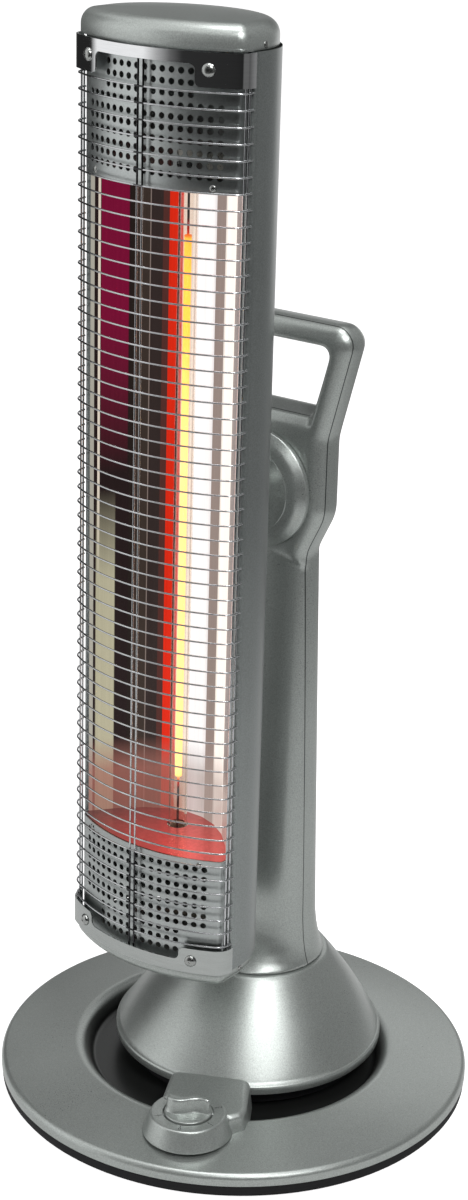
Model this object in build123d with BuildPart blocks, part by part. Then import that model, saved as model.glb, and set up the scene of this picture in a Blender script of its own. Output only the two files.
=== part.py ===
# Infrared patio heater tower on a round stand, in millimetres.
#
# +Z is up and the origin is on the floor, at the middle of the stand. The heater head faces -Y.
# The stand is fixed. The tower (cone, pillar and handle) swings about the Z axis, the heater head
# swivels about an axis along Y, and a knob, a motor crank and its link turn about upright axes.

from build123d import *
from math import asin, cos, degrees, hypot, radians, sin, sqrt
import os

os.makedirs("parts", exist_ok=True)

# ---------------------------------------------------------------- driving dimensions

# clearances
running_gap = 0.4            # between faces that move past each other
fit_gap = 0.06               # radial clearance of a shaft in its bearing
thread_gap = 0.1             # radial room around a screw in its hole
laid_gap = 0.1               # between a curved face and the piece laid on it

# stand
plate_radius = 160.0
plate_wall = 2.5
plate_bottom = 7.0
plate_shoulder = 17.0        # height where the rounded rim meets the sloping top
rim_round = 3.5
lip_height = 24.5            # top of the plate at the edge of the well
lip_radius = 103.2           # opening of the well
lip_round = 3.0
well_floor = 12.0
well_floor_radius = 98.0
tray_inset = 2.0             # the tray's edge lies this far inside the plate's
tray_bottom = 1.5
tray_wall = 2.5
tray_rim_width = 4.0
foot_radius = 9.0
foot_height = 2.5
foot_circle = 141.0
foot_count = 6
ballast_inner = 110.0
ballast_outer = 148.0
ballast_height = 8.0

# pivot of the tower
pivot_radius = 7.0
pivot_shoulder = 2.5         # width of the step that carries the washer
pivot_flange_radius = 12.0       # of the hole in the well's floor
pivot_flange_overlap = 5.0
pivot_flange_height = 3.0
washer_height = 1.5
washer_width = 2.8
turntable_bottom = 33.8
turntable_wall = 3.0
turntable_inset = 1.0        # the turntable's edge lies this far inside the skirt's
pivot_nut_height = 5.0
pivot_nut_wall = 2.0

# swing drive
swing_half = 35.0            # the tower swings this far to each side of the knob
motor_radius = 20.0
motor_height = 15.0
crank_throw = 9.0
crank_radius = 12.0
crank_wall = 2.0
crank_shaft_radius = 3.0
crank_pin_radius = 2.0
crank_shaft_depth = 8.0
link_length = 36.0
link_wall = 1.6
link_eye_radius = 5.0
link_bar_width = 4.8         # narrow, so that the link passes the pivot's washer
link_pin_radius = 3.0
link_gap = 0.5               # room over the crank pin, where the linkage is open

# cone
cone_offset = 16.0           # the cone's rim lies this far behind the axis
cone_rim_radius = 91.5
cone_rim_bottom = 25.7
cone_rim_height = 6.3
cone_bevel = 1.5
cone_wall = 2.5
cone_top = 86.5
cone_top_radius = 48.5
cone_top_offset = 23.0
cone_top_hole = 38.0
skirt_radius = 84.0
skirt_step = 2.5
skirt_bottom = 14.5
skirt_step_height = 20.0
cone_screw_circle = 75.0
cone_screw_count = 4

# control bridge and knob
knob_turn = 22.5             # direction of the knob, turned from -Y towards +X
knob_reach = 119.0
bridge_turn = 26.0
bridge_inner = 79.8          # reach of the arm's inner face above that rim
bridge_inner_low = 83.4      # reach of the arm's inner face beside the rim of the cone
bridge_inner_half = 26.0
bridge_outer_half = 31.5
bridge_top = 42.0            # height of the arm at its inner end
bridge_low_top = 34.3        # height of the arm beside the knob's housing
bridge_slope_end = 101.0     # the arm slopes down as far as this reach
bridge_wall = 2.5
bridge_taper = 12.0
housing_radius = 29.0
housing_top_radius = 24.0
housing_top = 35.5
knob_radius = 15.5
knob_disc_height = 2.6
knob_recess = 2.2
knob_grip_top = 47.0
knob_grip_width = 7.5
knob_shaft_radius = 3.0
knob_shaft_length = 10.0
switch_radius = 13.0
switch_height = 16.0
switch_neck_radius = 5.0

# tip-over switch, terminal block and cord inlet
tip_turn = -70.0
tip_reach = 128.0
plunger_radius = 5.0
plunger_stem_radius = 3.0
plunger_height = 5.0
plunger_stem_height = 4.0
plunger_travel = 4.0
tip_box = (22.0, 12.0, 12.5)
block_box = (34.0, 16.0, 11.0)
block_reach = 128.0
gland_radius = 3.4
gland_length = 13.0
gland_height = 10.9

# pillar: height, half width, front y, back y, squareness of each section
pillar_foot_radius = 47.3
pillar_sections = (
    (cone_top, pillar_foot_radius, cone_top_offset - pillar_foot_radius,
     cone_top_offset + pillar_foot_radius, 2.0),
    (89.0, 46.2, -19.5, 66.0, 2.05),
    (92.5, 45.0, -14.5, 62.5, 2.15),
    (98.0, 43.6, -8.5, 57.5, 2.4),
    (106.0, 42.2, -3.5, 52.5, 2.6),
    (120.0, 41.0, 0.0, 48.5, 2.8),
    (160.0, 40.0, 2.2, 46.0, 3.0),
    (384.0, 33.6, 12.8, 41.0, 3.0),
)
pillar_wall = 2.4
seam_y = 19.0
seam_gap = 0.3
shield_front = 12.0
shield_back = 38.0
shield_bevel_front = 6.0
shield_bevel_back = 8.0
shield_half = 46.5
shield_bottom = 380.0
shield_full = 406.0
shield_kink = 457.0
handle_half = 64.0
handle_kink = 523.5
handle_top = 532.0
handle_top_inset = 9.5
window_bottom = 469.5
window_top = 518.5
window_bottom_half = 35.0
window_top_half = 49.5
window_round = 5.0
pillar_tube_radius = 9.8
pillar_tube_wall = 1.5
pillar_tube_y = 25.6
tube_flange_radius = 15.4
tube_flange_height = 3.0
boss_radius = 4.2
boss_half = 18.0
boss_heights = (170.0, 330.0)
shield_boss_half = 34.0
shield_boss_height = 440.0

# swivel hub
hub_height = 420.0
hub_disc_radius = 40.0
hub_disc_face = 1.5
neck_radius = 19.0
neck_end_radius = 14.0
shaft_radius = 7.0
shaft_head_overlap = 4.0
shaft_head_height = 3.0
socket_half = 24.0
socket_bottom = 392.0
socket_top = 448.0
socket_back = 30.0
swivel_nut_height = 3.2
swivel_nut_wall = 4.0
spring_washer_height = 1.2

# heater head, seen from above: a front arc, rounded corners, short sides and an elliptic back
head_half = 61.7
head_front_radius = 115.5    # the front arc is centred on the tower's axis
head_corner = 10.0
head_flange_y = -89.5
head_back_centre = -78.0
head_back_depth = 50.0
head_bottom = 135.2
head_top = 707.5
casing_wall = 1.5
flange_width = 5.0
cap_height = 15.5
cap_round = 9.5
bottom_cap_height = 11.2
bottom_cap_round = 6.0
cap_inset = 1.6
cap_screw_height = 3.0       # from the casing's end
cap_wall = 2.0
band_height = 19.3
band_notch_height = 12.6
lower_band_height = 17.0
lower_band_notch_height = 8.6
band_notch_half = 36.0
band_wall = 1.0
wire_radius = 0.9
wire_count = 58
wire_pitch = 9.314
wire_middle = 419.85         # height of the middle of the row of wires
wire_pair_half = 1.8
wire_twin_turn = 25.0        # second upright wire on each corner, turned from the side
perforated_height = 79.5
lower_perforated_height = 76.3
perforated_inset = 5.5
perforated_wall = 0.8
hole_radius = 1.5
hole_pitch_x = 5.95
hole_pitch_z = 6.5
hole_rows = 10
hole_notch_rows = 3
hole_columns = 17
hole_notch_columns = 11
hole_margin = 11.6
reflector_back_y = -49.0
reflector_facets = 9
reflector_wall = 0.8
shelf_wall = 1.0
tube_y = -68.0
tube_radius = 6.0
tube_wall = 1.0
tube_reach = 14.0            # the tube goes this far past each shelf
filament_radius = 2.2
filament_margin = 34.0
holder_wall = 3.0
holder_height = 16.0
clip_width = 12.0
clip_wall = 1.5
bracket_half = 24.0
bracket_wall = 3.0
bracket_back = -36.4

# fasteners
screw_radius = 1.6
screw_head_radius = 3.2
screw_head_height = 1.8
small_screw_head = 2.2
small_screw_head_height = 1.2
tray_screw_inset = 8.0       # from the plate's edge
tray_screw_count = 6
tray_screw_start = 15.0
bridge_screw_reach = 106.0
bridge_screw_half = 22.5
band_screw_x = 43.0
plate_screw_x = 43.0
plate_screw_margin = 3.4

# ---------------------------------------------------------------- values worked out from them

wall_inside_plate = plate_radius - plate_wall
tray_radius = plate_radius - tray_inset
tray_screw_circle = plate_radius - tray_screw_inset
pivot_barrel_radius = pivot_radius + pivot_shoulder
washer_radius = pivot_radius + washer_width
shaft_head_radius = shaft_radius + shaft_head_overlap
swivel_nut_radius = shaft_radius + swivel_nut_wall
holder_radius = tube_radius + holder_wall
shelf_upper = head_top - perforated_height          # underside of the upper shelf
shelf_lower = head_bottom + lower_perforated_height       # top of the lower shelf
corner_centre_x = head_half - head_corner
reflector_half = head_half - flange_width - laid_gap
reflector_front_y = head_flange_y
corner_centre_y = -sqrt((head_front_radius - head_corner) ** 2 - corner_centre_x ** 2)
tray_floor = tray_bottom + tray_wall
turntable_top = turntable_bottom + turntable_wall
hub_disc_back = shield_front - running_gap
link_pin_reach = crank_throw / sin(radians(swing_half))
crank_shaft_reach = link_pin_reach * (1 + cos(radians(swing_half))) / 2
motor_top = well_floor + motor_height
plate_slope = (lip_height - plate_shoulder) / (plate_radius - lip_radius)
bridge_screw_low = (plate_shoulder - plate_wall - 2 * screw_head_radius * plate_slope
                    + plate_slope * (plate_radius - hypot(bridge_screw_reach, bridge_screw_half)))
bridge_screw_top = bridge_low_top - bridge_wall - 2
link_bottom = turntable_bottom - running_gap - link_wall
crank_pin_top = link_bottom - link_gap


def turned(turn, reach, across=0.0):
    """Point at a direction turned from -Y towards +X, moved across it."""
    along = radians(turn)
    return (reach * sin(along) + across * cos(along), -reach * cos(along) + across * sin(along))


def save(piece, name):
    """Name a finished piece and write its file."""
    piece.part.label = name
    export_step(piece.part, f"parts/{name}.step")


def parallel(points, gap):
    """Points of an open line of straight runs that lies beside another, gap to its left."""
    runs = []
    for (ax, ay), (bx, by) in zip(points, points[1:]):
        length = hypot(bx - ax, by - ay)
        side = (-(by - ay) / length * gap, (bx - ax) / length * gap)
        runs.append((ax + side[0], ay + side[1], bx - ax, by - ay))
    beside = [(runs[0][0], runs[0][1])]
    for (px, py, ux, uy), (qx, qy, vx, vy) in zip(runs, runs[1:]):
        share = ((qx - px) * vy - (qy - py) * vx) / (ux * vy - uy * vx)
        beside.append((px + share * ux, py + share * uy))
    last = runs[-1]
    beside.append((last[0] + last[2], last[1] + last[3]))
    return beside


def sheet_face(points, radii, inner_radii, wall):
    """Section of a sheet: a filleted line and the line that runs beside it at the wall's distance."""
    with BuildLine() as edge:
        outer = FilletPolyline(*points, radius=radii)
        inner = FilletPolyline(*parallel(points, wall), radius=inner_radii)
        Line(outer @ 0, inner @ 0)
        Line(outer @ 1, inner @ 1)
    make_face(edge.line)


def oval_points(half_width, front, back, squareness, count=20):
    """Points of a superellipse |x/a|^n + |y/b|^n = 1 between the given front and back."""
    middle, depth = (front + back) / 2, (back - front) / 2
    points = []
    for step in range(count):
        angle = radians(360.0 * step / count)
        x, y = cos(angle), sin(angle)
        scale = (abs(x) ** squareness + abs(y) ** squareness) ** (-1 / squareness)
        points.append((half_width * x * scale, middle + depth * y * scale))
    return points


# ---------------------------------------------------------------- stand

plate_outer = [
    (plate_radius, plate_bottom),
    (plate_radius, plate_shoulder),
    (lip_radius, lip_height),
    (lip_radius - 0.8, lip_height - 4.5),
    (well_floor_radius, well_floor),
    (pivot_flange_radius, well_floor),
]

bridge_screw_places = [turned(bridge_turn, bridge_screw_reach, side * bridge_screw_half)
                       for side in (-1, 1)]

with BuildPart() as base_plate:
    with BuildSketch(Plane.XZ):
        sheet_face(
            plate_outer,
            [rim_round, lip_round, 6.0, 4.0],
            [rim_round - plate_wall, lip_round - plate_wall, 6.0 - plate_wall, 4.0 + plate_wall],
            plate_wall,
        )
    revolve(axis=Axis.Z)
    with Locations((*turned(knob_turn, knob_reach), lip_height)):
        Hole(switch_radius + running_gap, depth=2 * lip_height - well_floor)
    with Locations(Plane((0, plate_radius, gland_height), z_dir=(0, 1, 0))):
        Hole(gland_radius + thread_gap, depth=gland_length)
    with Locations(*[(*place, lip_height) for place in bridge_screw_places]):
        Hole(screw_radius + thread_gap, depth=lip_height - well_floor)
save(base_plate, "base_plate")

# everything below the top of the plate, for pieces that lie on it
with BuildPart() as ground:
    with BuildSketch(Plane.XZ):
        with BuildLine() as ground_line:
            Polyline(
                (0, 0), (plate_radius + laid_gap, 0), (plate_radius + laid_gap, plate_shoulder + laid_gap),
                (lip_radius, lip_height + laid_gap), (0, lip_height + laid_gap), close=True,
            )
        make_face(ground_line.line)
    revolve(axis=Axis.Z)

with BuildPart() as bottom_tray:
    with BuildSketch(Plane.XY.offset(tray_bottom)):
        Circle(tray_radius)
    extrude(amount=plate_bottom - tray_bottom)
    with BuildSketch(Plane.XY.offset(tray_floor)):
        Circle(tray_radius - tray_rim_width)
    extrude(amount=plate_bottom, mode=Mode.SUBTRACT)
    with BuildSketch(Plane.XY.offset(tray_bottom)):
        with PolarLocations(foot_circle, foot_count):
            Circle(foot_radius)
    extrude(amount=foot_height - tray_bottom, mode=Mode.SUBTRACT)
    with Locations((*turned(tip_turn, tip_reach), tray_floor)):
        Hole(plunger_radius + running_gap)
    with Locations(Plane.XY.offset(tray_floor)):
        with PolarLocations(tray_screw_circle, tray_screw_count, start_angle=tray_screw_start):
            Hole(screw_radius + thread_gap)
save(bottom_tray, "bottom_tray")

with BuildPart() as rubber_feet:
    with PolarLocations(foot_circle, foot_count):
        Cylinder(foot_radius, foot_height, align=(Align.CENTER, Align.CENTER, Align.MIN))
    chamfer(rubber_feet.edges().group_by(Axis.Z)[0], 0.5)
save(rubber_feet, "rubber_feet")

with BuildPart() as ballast_ring:
    with BuildSketch(Plane.XY.offset(tray_floor)):
        Circle(ballast_outer)
        Circle(ballast_inner, mode=Mode.SUBTRACT)
        for turn, reach, room in ((knob_turn, knob_reach, 3 * switch_radius),
                                  (tip_turn, tip_reach, 2 * tip_box[0]),
                                  (180.0, block_reach, 1.5 * block_box[0])):
            with Locations(Location((*turned(turn, reach), 0), (0, 0, turn))):
                Rectangle(room, plate_radius - ballast_inner + 10, mode=Mode.SUBTRACT)
    extrude(amount=ballast_height)
save(ballast_ring, "ballast_ring")

with BuildPart() as pivot_post:
    with BuildSketch(Plane.XZ):
        with BuildLine() as post_line:
            Polyline(
                (0, well_floor - plate_wall),
                (pivot_flange_radius - running_gap, well_floor - plate_wall),
                (pivot_flange_radius - running_gap, well_floor),
                (pivot_flange_radius + pivot_flange_overlap, well_floor),
                (pivot_flange_radius + pivot_flange_overlap, well_floor + pivot_flange_height),
                (pivot_barrel_radius, well_floor + pivot_flange_height),
                (pivot_barrel_radius, turntable_bottom - running_gap / 2 - washer_height),
                (pivot_radius, turntable_bottom - running_gap / 2 - washer_height),
                (pivot_radius, turntable_top + running_gap + pivot_nut_height + 1),
                (0, turntable_top + running_gap + pivot_nut_height + 1),
                close=True,
            )
        make_face(post_line.line)
    revolve(axis=Axis.Z)
save(pivot_post, "pivot_post")

with BuildPart() as thrust_washer:
    with BuildSketch(Plane.XY.offset(turntable_bottom - running_gap / 2 - washer_height)):
        Circle(washer_radius)
        Circle(pivot_radius + thread_gap, mode=Mode.SUBTRACT)
    extrude(amount=washer_height)
save(thrust_washer, "thrust_washer")

with BuildPart() as pivot_nut:
    with BuildSketch(Plane.XY.offset(turntable_top + running_gap / 2)):
        RegularPolygon(pivot_radius + pivot_nut_wall, 6)
        Circle(pivot_radius + thread_gap, mode=Mode.SUBTRACT)
    extrude(amount=pivot_nut_height)
save(pivot_nut, "pivot_nut")

motor_place = turned(knob_turn, crank_shaft_reach, -link_length)

with BuildPart() as oscillation_motor:
    with BuildSketch(Plane.XY.offset(well_floor)):
        with Locations(motor_place):
            Circle(motor_radius)
    extrude(amount=motor_height)
    fillet(oscillation_motor.edges().group_by(Axis.Z)[-1], 1.5)
    with Locations((*motor_place, motor_top)):
        Hole(crank_shaft_radius + fit_gap, depth=crank_shaft_depth + 1)
save(oscillation_motor, "oscillation_motor")

with BuildPart() as control_bridge:
    with BuildSketch(Plane.XY.offset(bridge_top)):
        with BuildLine() as bridge_line:
            inner_left = turned(bridge_turn, bridge_inner, -bridge_inner_half)
            inner_right = turned(bridge_turn, bridge_inner, bridge_inner_half)
            outer_left = turned(bridge_turn, knob_reach, -bridge_outer_half + 14)
            outer_right = turned(bridge_turn, knob_reach - 4, bridge_outer_half - 8)
            side_right = turned(bridge_turn, lip_radius + 3, bridge_outer_half - 3)
            side_left = turned(bridge_turn, lip_radius, -bridge_outer_half + 3)
            Polyline(inner_right, side_right, outer_right, outer_left, side_left, inner_left)
            Line(inner_left, inner_right)
        make_face(bridge_line.line)
    extrude(amount=-(bridge_top - plate_shoulder), taper=-bridge_taper)
    with BuildSketch(Plane((0, 0, 0), x_dir=(*turned(bridge_turn, 1), 0),
                           z_dir=(*turned(bridge_turn, 0, -1), 0))):
        with BuildLine() as slope_line:
            Polyline(
                (bridge_inner, bridge_top),
                (bridge_slope_end, bridge_low_top),
                (2 * knob_reach, bridge_low_top),
                (2 * knob_reach, 2 * bridge_top),
                (bridge_inner, 2 * bridge_top),
                close=True,
            )
        make_face(slope_line.line)
    extrude(amount=2 * bridge_outer_half, both=True, mode=Mode.SUBTRACT)
    with BuildSketch(Plane.XY.offset(housing_top)):
        with Locations(turned(knob_turn, knob_reach)):
            Circle(housing_top_radius)
    housing_drop = housing_top - plate_shoulder
    housing_taper = -degrees(asin((housing_radius - housing_top_radius) / (housing_top - lip_height)))
    extrude(amount=-housing_drop, taper=housing_taper)
    add(ground.part, mode=Mode.SUBTRACT)
    with BuildSketch(Plane.XY.offset(plate_shoulder)):
        Circle(bridge_inner)
    extrude(amount=bridge_top, mode=Mode.SUBTRACT)
    # cut back lower down, where the rim of the cone swings past
    with BuildSketch(Plane.XY.offset(plate_shoulder)):
        Circle(bridge_inner_low)
    extrude(amount=bridge_low_top - plate_shoulder, mode=Mode.SUBTRACT)
    with Locations((*turned(knob_turn, knob_reach), housing_top)):
        CounterBoreHole(switch_neck_radius + running_gap, knob_radius + running_gap, knob_recess,
                        depth=housing_drop)
    with BuildSketch(Plane.XY.offset(lip_height - housing_drop)):
        with Locations(turned(knob_turn, knob_reach)):
            Circle(switch_radius + bridge_wall)
    extrude(amount=housing_top - knob_recess - bridge_wall - lip_height + housing_drop, mode=Mode.SUBTRACT)
    with BuildSketch(Plane.XY.offset(plate_shoulder)):
        with Locations(*bridge_screw_places):
            Circle(screw_radius + thread_gap)
    extrude(amount=bridge_screw_top - plate_shoulder + 1, mode=Mode.SUBTRACT)
save(control_bridge, "control_bridge")

switch_top = housing_top - knob_recess - bridge_wall - running_gap

with BuildPart() as selector_switch:
    with BuildSketch(Plane.XY.offset(switch_top - switch_height)):
        with Locations(turned(knob_turn, knob_reach)):
            Circle(switch_radius)
    extrude(amount=switch_height)
    with BuildSketch(Plane.XY.offset(switch_top)):
        with Locations(turned(knob_turn, knob_reach)):
            Circle(switch_neck_radius)
    extrude(amount=bridge_wall)
    with Locations((*turned(knob_turn, knob_reach), switch_top + bridge_wall)):
        Hole(knob_shaft_radius + fit_gap, depth=knob_shaft_length + 2)
save(selector_switch, "selector_switch")

with BuildPart() as tip_switch:
    with BuildSketch(Plane.XY.offset(tray_floor)):
        with Locations(Location((*turned(tip_turn, tip_reach), 0), (0, 0, tip_turn))):
            RectangleRounded(tip_box[0], tip_box[1], 1.0)
    extrude(amount=tip_box[2])
    with BuildSketch(Plane.XY.offset(tray_floor)):
        with Locations(turned(tip_turn, tip_reach)):
            Circle(plunger_radius + fit_gap)
    extrude(amount=plunger_height + 0.5 - tray_floor + 0.5, mode=Mode.SUBTRACT)
    with BuildSketch(Plane.XY.offset(tray_floor)):
        with Locations(turned(tip_turn, tip_reach)):
            Circle(plunger_stem_radius + fit_gap)
    extrude(amount=plunger_height + plunger_stem_height + 1 - tray_floor, mode=Mode.SUBTRACT)
save(tip_switch, "tip_switch")

with BuildPart() as terminal_block:
    with BuildSketch(Plane.XY.offset(tray_floor)):
        with Locations((0, block_reach)):
            RectangleRounded(block_box[0], block_box[1], 1.0)
    extrude(amount=block_box[2])
    with BuildSketch(Plane.XY.offset(tray_floor + block_box[2])):
        with Locations((0, block_reach)):
            with GridLocations(block_box[0] / 3, block_box[1] / 2, 3, 2):
                Circle(2.0)
    extrude(amount=-4, mode=Mode.SUBTRACT)
save(terminal_block, "terminal_block")

with BuildPart() as cord_gland:
    with BuildSketch(Plane((0, plate_radius - 0.5, gland_height), z_dir=(0, -1, 0))):
        Circle(gland_radius)
    extrude(amount=gland_length)
    with BuildSketch(Plane((0, wall_inside_plate - 1, gland_height), z_dir=(0, -1, 0))):
        Circle(gland_radius + 0.4)
    extrude(amount=3)
    with BuildSketch(Plane((0, plate_radius - 0.5, gland_height), z_dir=(0, -1, 0))):
        Circle(gland_radius - 1.2)
    extrude(amount=gland_length, mode=Mode.SUBTRACT)
save(cord_gland, "cord_gland")

with BuildPart() as tray_screws:
    with Locations(Plane.XY.offset(tray_floor - screw_head_height + 0.3)):
        with PolarLocations(tray_screw_circle, tray_screw_count, start_angle=tray_screw_start):
            Cylinder(screw_radius, 10, align=(Align.CENTER, Align.CENTER, Align.MIN))
save(tray_screws, "tray_screws")

with BuildPart() as bridge_screws:
    for radius, bottom, top in ((screw_head_radius, bridge_screw_low - screw_head_height, bridge_screw_low),
                                (screw_radius, bridge_screw_low, bridge_screw_top)):
        with BuildSketch(Plane.XY.offset(bottom)):
            with Locations(*bridge_screw_places):
                Circle(radius)
        extrude(amount=top - bottom)
save(bridge_screws, "bridge_screws")

# ---------------------------------------------------------------- pieces of the stand that move

with BuildPart() as selector_knob:
    knob_bottom = housing_top - knob_recess + running_gap
    with BuildSketch(Plane.XY.offset(knob_bottom)):
        with Locations(turned(knob_turn, knob_reach)):
            Circle(knob_radius)
    extrude(amount=knob_disc_height)
    chamfer(selector_knob.edges().group_by(Axis.Z)[-1], 0.5)
    with BuildSketch(Plane.XY.offset(knob_bottom + knob_disc_height)):
        with Locations(Location((*turned(knob_turn, knob_reach), 0), (0, 0, knob_turn))):
            SlotOverall(2 * knob_radius - 2, knob_grip_width)
    extrude(amount=knob_grip_top - knob_bottom - knob_disc_height)
    fillet(selector_knob.edges().group_by(Axis.Z)[-1], 1.5)
    with BuildSketch(Plane.XY.offset(knob_bottom)):
        with Locations(turned(knob_turn, knob_reach)):
            Circle(knob_shaft_radius)
    extrude(amount=-knob_shaft_length)
save(selector_knob, "selector_knob")

crank_turn = 180 * (swing_half - knob_turn) / (2 * swing_half)      # from the dead centre to rest
crank_direction = knob_turn + 180 + crank_turn                      # of the pin, from +X

with BuildPart() as crank_disc:
    with BuildSketch(Plane.XY.offset(motor_top + running_gap)):
        with Locations(motor_place):
            Circle(crank_radius)
    extrude(amount=crank_wall)
    with BuildSketch(Plane.XY.offset(motor_top + running_gap)):
        with Locations(motor_place):
            Circle(crank_shaft_radius)
    extrude(amount=-crank_shaft_depth)
    with BuildSketch(Plane.XY.offset(motor_top + running_gap + crank_wall)):
        with Locations((motor_place[0] + crank_throw * cos(radians(crank_direction)),
                        motor_place[1] + crank_throw * sin(radians(crank_direction)))):
            Circle(crank_pin_radius)
    extrude(amount=crank_pin_top - motor_top - running_gap - crank_wall)
save(crank_disc, "crank_disc")

link_start = (0.0, -link_pin_reach)
link_end = (link_start[0] - link_length * cos(radians(knob_turn)),
            link_start[1] - link_length * sin(radians(knob_turn)))

with BuildPart() as drive_link:
    with BuildSketch(Plane.XY.offset(link_bottom)):
        with Locations(Location(((link_start[0] + link_end[0]) / 2, (link_start[1] + link_end[1]) / 2, 0),
                                (0, 0, knob_turn))):
            Rectangle(link_length, link_bar_width)
        with Locations(link_start, link_end):
            Circle(link_eye_radius)
        with Locations(link_start):
            Circle(link_pin_radius + fit_gap, mode=Mode.SUBTRACT)
        with Locations(link_end):
            Circle(crank_pin_radius + link_gap, mode=Mode.SUBTRACT)
    extrude(amount=link_wall)
save(drive_link, "drive_link")

with BuildPart() as tip_plunger:
    with BuildSketch(Plane.XY):
        with Locations(turned(tip_turn, tip_reach)):
            Circle(plunger_radius)
    extrude(amount=plunger_height)
    fillet(tip_plunger.edges().group_by(Axis.Z)[0], 1.0)
    with BuildSketch(Plane.XY.offset(plunger_height)):
        with Locations(turned(tip_turn, tip_reach)):
            Circle(plunger_stem_radius)
    extrude(amount=plunger_stem_height)
save(tip_plunger, "tip_plunger")

# ---------------------------------------------------------------- cone and turntable

cone_shoulder = cone_rim_bottom + cone_rim_height
cone_span = cone_top - cone_shoulder


def cone_section(height, swell):
    """Middle and radius of the cone at a height, with its sides swelled outwards."""
    share = (height - cone_shoulder) / cone_span
    middle = cone_offset + (cone_top_offset - cone_offset) * share
    radius = cone_rim_radius - cone_bevel + (cone_top_radius - cone_rim_radius + cone_bevel) * share
    return middle, radius + swell * 4 * share * (1 - share)


def disc_at(height, middle, radius):
    """A round section at a height, its middle on the Y axis."""
    with BuildSketch(Plane.XY.offset(height)) as disc:
        with Locations((0, middle)):
            Circle(radius)
    return disc.sketch


def cone_body(inset):
    """The cone's filled shape, made smaller by an inset."""
    rim, neck = cone_rim_radius - inset, cone_rim_radius - cone_bevel - inset
    shoulder = cone_shoulder - inset / 2
    extrude(disc_at(cone_rim_bottom, cone_offset, rim), amount=shoulder - cone_bevel - cone_rim_bottom)
    loft([disc_at(shoulder - cone_bevel, cone_offset, rim), disc_at(shoulder, cone_offset, neck)],
         ruled=True)
    sections = [disc_at(shoulder, cone_offset, neck)]
    for height in (cone_shoulder + cone_span * 0.35, cone_shoulder + cone_span * 0.7, cone_top - inset):
        middle, radius = cone_section(height, 2.2)
        sections.append(disc_at(height, middle, radius - inset))
    loft(sections)


with BuildPart() as cone_outer:
    cone_body(0)

with BuildPart() as cone_inner:
    cone_body(cone_wall)

with BuildPart() as cone_cover:
    add(cone_outer.part)
    add(cone_inner.part, mode=Mode.SUBTRACT)
    with BuildSketch(Plane.XY.offset(cone_top)):
        with Locations((0, cone_top_offset)):
            Circle(cone_top_hole)
    extrude(amount=-2 * cone_wall, mode=Mode.SUBTRACT)
    with BuildPart(mode=Mode.PRIVATE) as cone_bosses:
        with BuildSketch(Plane.XY.offset(turntable_top)):
            with Locations((0, cone_offset)):
                with PolarLocations(cone_screw_circle, cone_screw_count, start_angle=45):
                    Circle(boss_radius)
        extrude(amount=cone_top - turntable_top)
        add(cone_outer.part, mode=Mode.INTERSECT)
        with BuildSketch(Plane.XY.offset(turntable_top)):
            with Locations((0, cone_offset)):
                with PolarLocations(cone_screw_circle, cone_screw_count, start_angle=45):
                    Circle(screw_radius + thread_gap)
        extrude(amount=8, mode=Mode.SUBTRACT)
    add(cone_bosses.part)
save(cone_cover, "cone_cover")

with BuildPart() as turntable_plate:
    with BuildSketch(Plane.XY.offset(turntable_bottom)):
        with Locations((0, cone_offset)):
            Circle(skirt_radius - turntable_inset)
            with PolarLocations(cone_screw_circle, cone_screw_count, start_angle=45):
                Circle(screw_radius + thread_gap, mode=Mode.SUBTRACT)
        Circle(pivot_radius + fit_gap, mode=Mode.SUBTRACT)
    extrude(amount=turntable_wall)
    with BuildSketch(Plane.XY.offset(turntable_bottom)):
        with Locations(link_start):
            Circle(link_pin_radius)
    extrude(amount=link_bottom - turntable_bottom)
save(turntable_plate, "turntable_plate")

with BuildPart() as skirt_ring:
    with BuildSketch(Plane.XY.offset(skirt_bottom)):
        with Locations((0, cone_offset)):
            Circle(skirt_radius - skirt_step)
            Circle(skirt_radius - 2 * skirt_step, mode=Mode.SUBTRACT)
    extrude(amount=skirt_step_height - skirt_bottom)
    with BuildSketch(Plane.XY.offset(skirt_step_height)):
        with Locations((0, cone_offset)):
            Circle(skirt_radius)
            Circle(skirt_radius - 2 * skirt_step, mode=Mode.SUBTRACT)
    extrude(amount=turntable_bottom - skirt_step_height)
    with BuildSketch(Plane.XY.offset(turntable_bottom)):
        with Locations((0, cone_offset)):
            Circle(skirt_radius - skirt_step)
            Circle(cone_screw_circle - 5, mode=Mode.SUBTRACT)
    extrude(amount=-skirt_step)
    with BuildSketch(Plane.XY.offset(turntable_bottom)):
        with Locations((0, cone_offset)):
            with PolarLocations(cone_screw_circle, cone_screw_count, start_angle=45):
                Circle(screw_radius + thread_gap)
    extrude(amount=-skirt_step, mode=Mode.SUBTRACT)
save(skirt_ring, "skirt_ring")

with BuildPart() as cone_screws:
    for radius, bottom, top in ((screw_head_radius, turntable_bottom - skirt_step - screw_head_height,
                                 turntable_bottom - skirt_step),
                                (screw_radius, turntable_bottom - skirt_step, turntable_top + 7)):
        with BuildSketch(Plane.XY.offset(bottom)):
            with Locations((0, cone_offset)):
                with PolarLocations(cone_screw_circle, cone_screw_count, start_angle=45):
                    Circle(radius)
        extrude(amount=top - bottom)
save(cone_screws, "cone_screws")

# ---------------------------------------------------------------- pillar and handle

with BuildPart() as pillar_tube:
    with BuildSketch(Plane.XY.offset(turntable_top)):
        with Locations((0, pillar_tube_y)):
            Circle(tube_flange_radius)
            Circle(pillar_tube_radius - pillar_tube_wall, mode=Mode.SUBTRACT)
    extrude(amount=tube_flange_height)
    with BuildSketch(Plane.XY.offset(turntable_top + tube_flange_height)):
        with Locations((0, pillar_tube_y)):
            Circle(pillar_tube_radius)
            Circle(pillar_tube_radius - pillar_tube_wall, mode=Mode.SUBTRACT)
    extrude(amount=socket_bottom - turntable_top - tube_flange_height)
save(pillar_tube, "pillar_tube")


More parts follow.
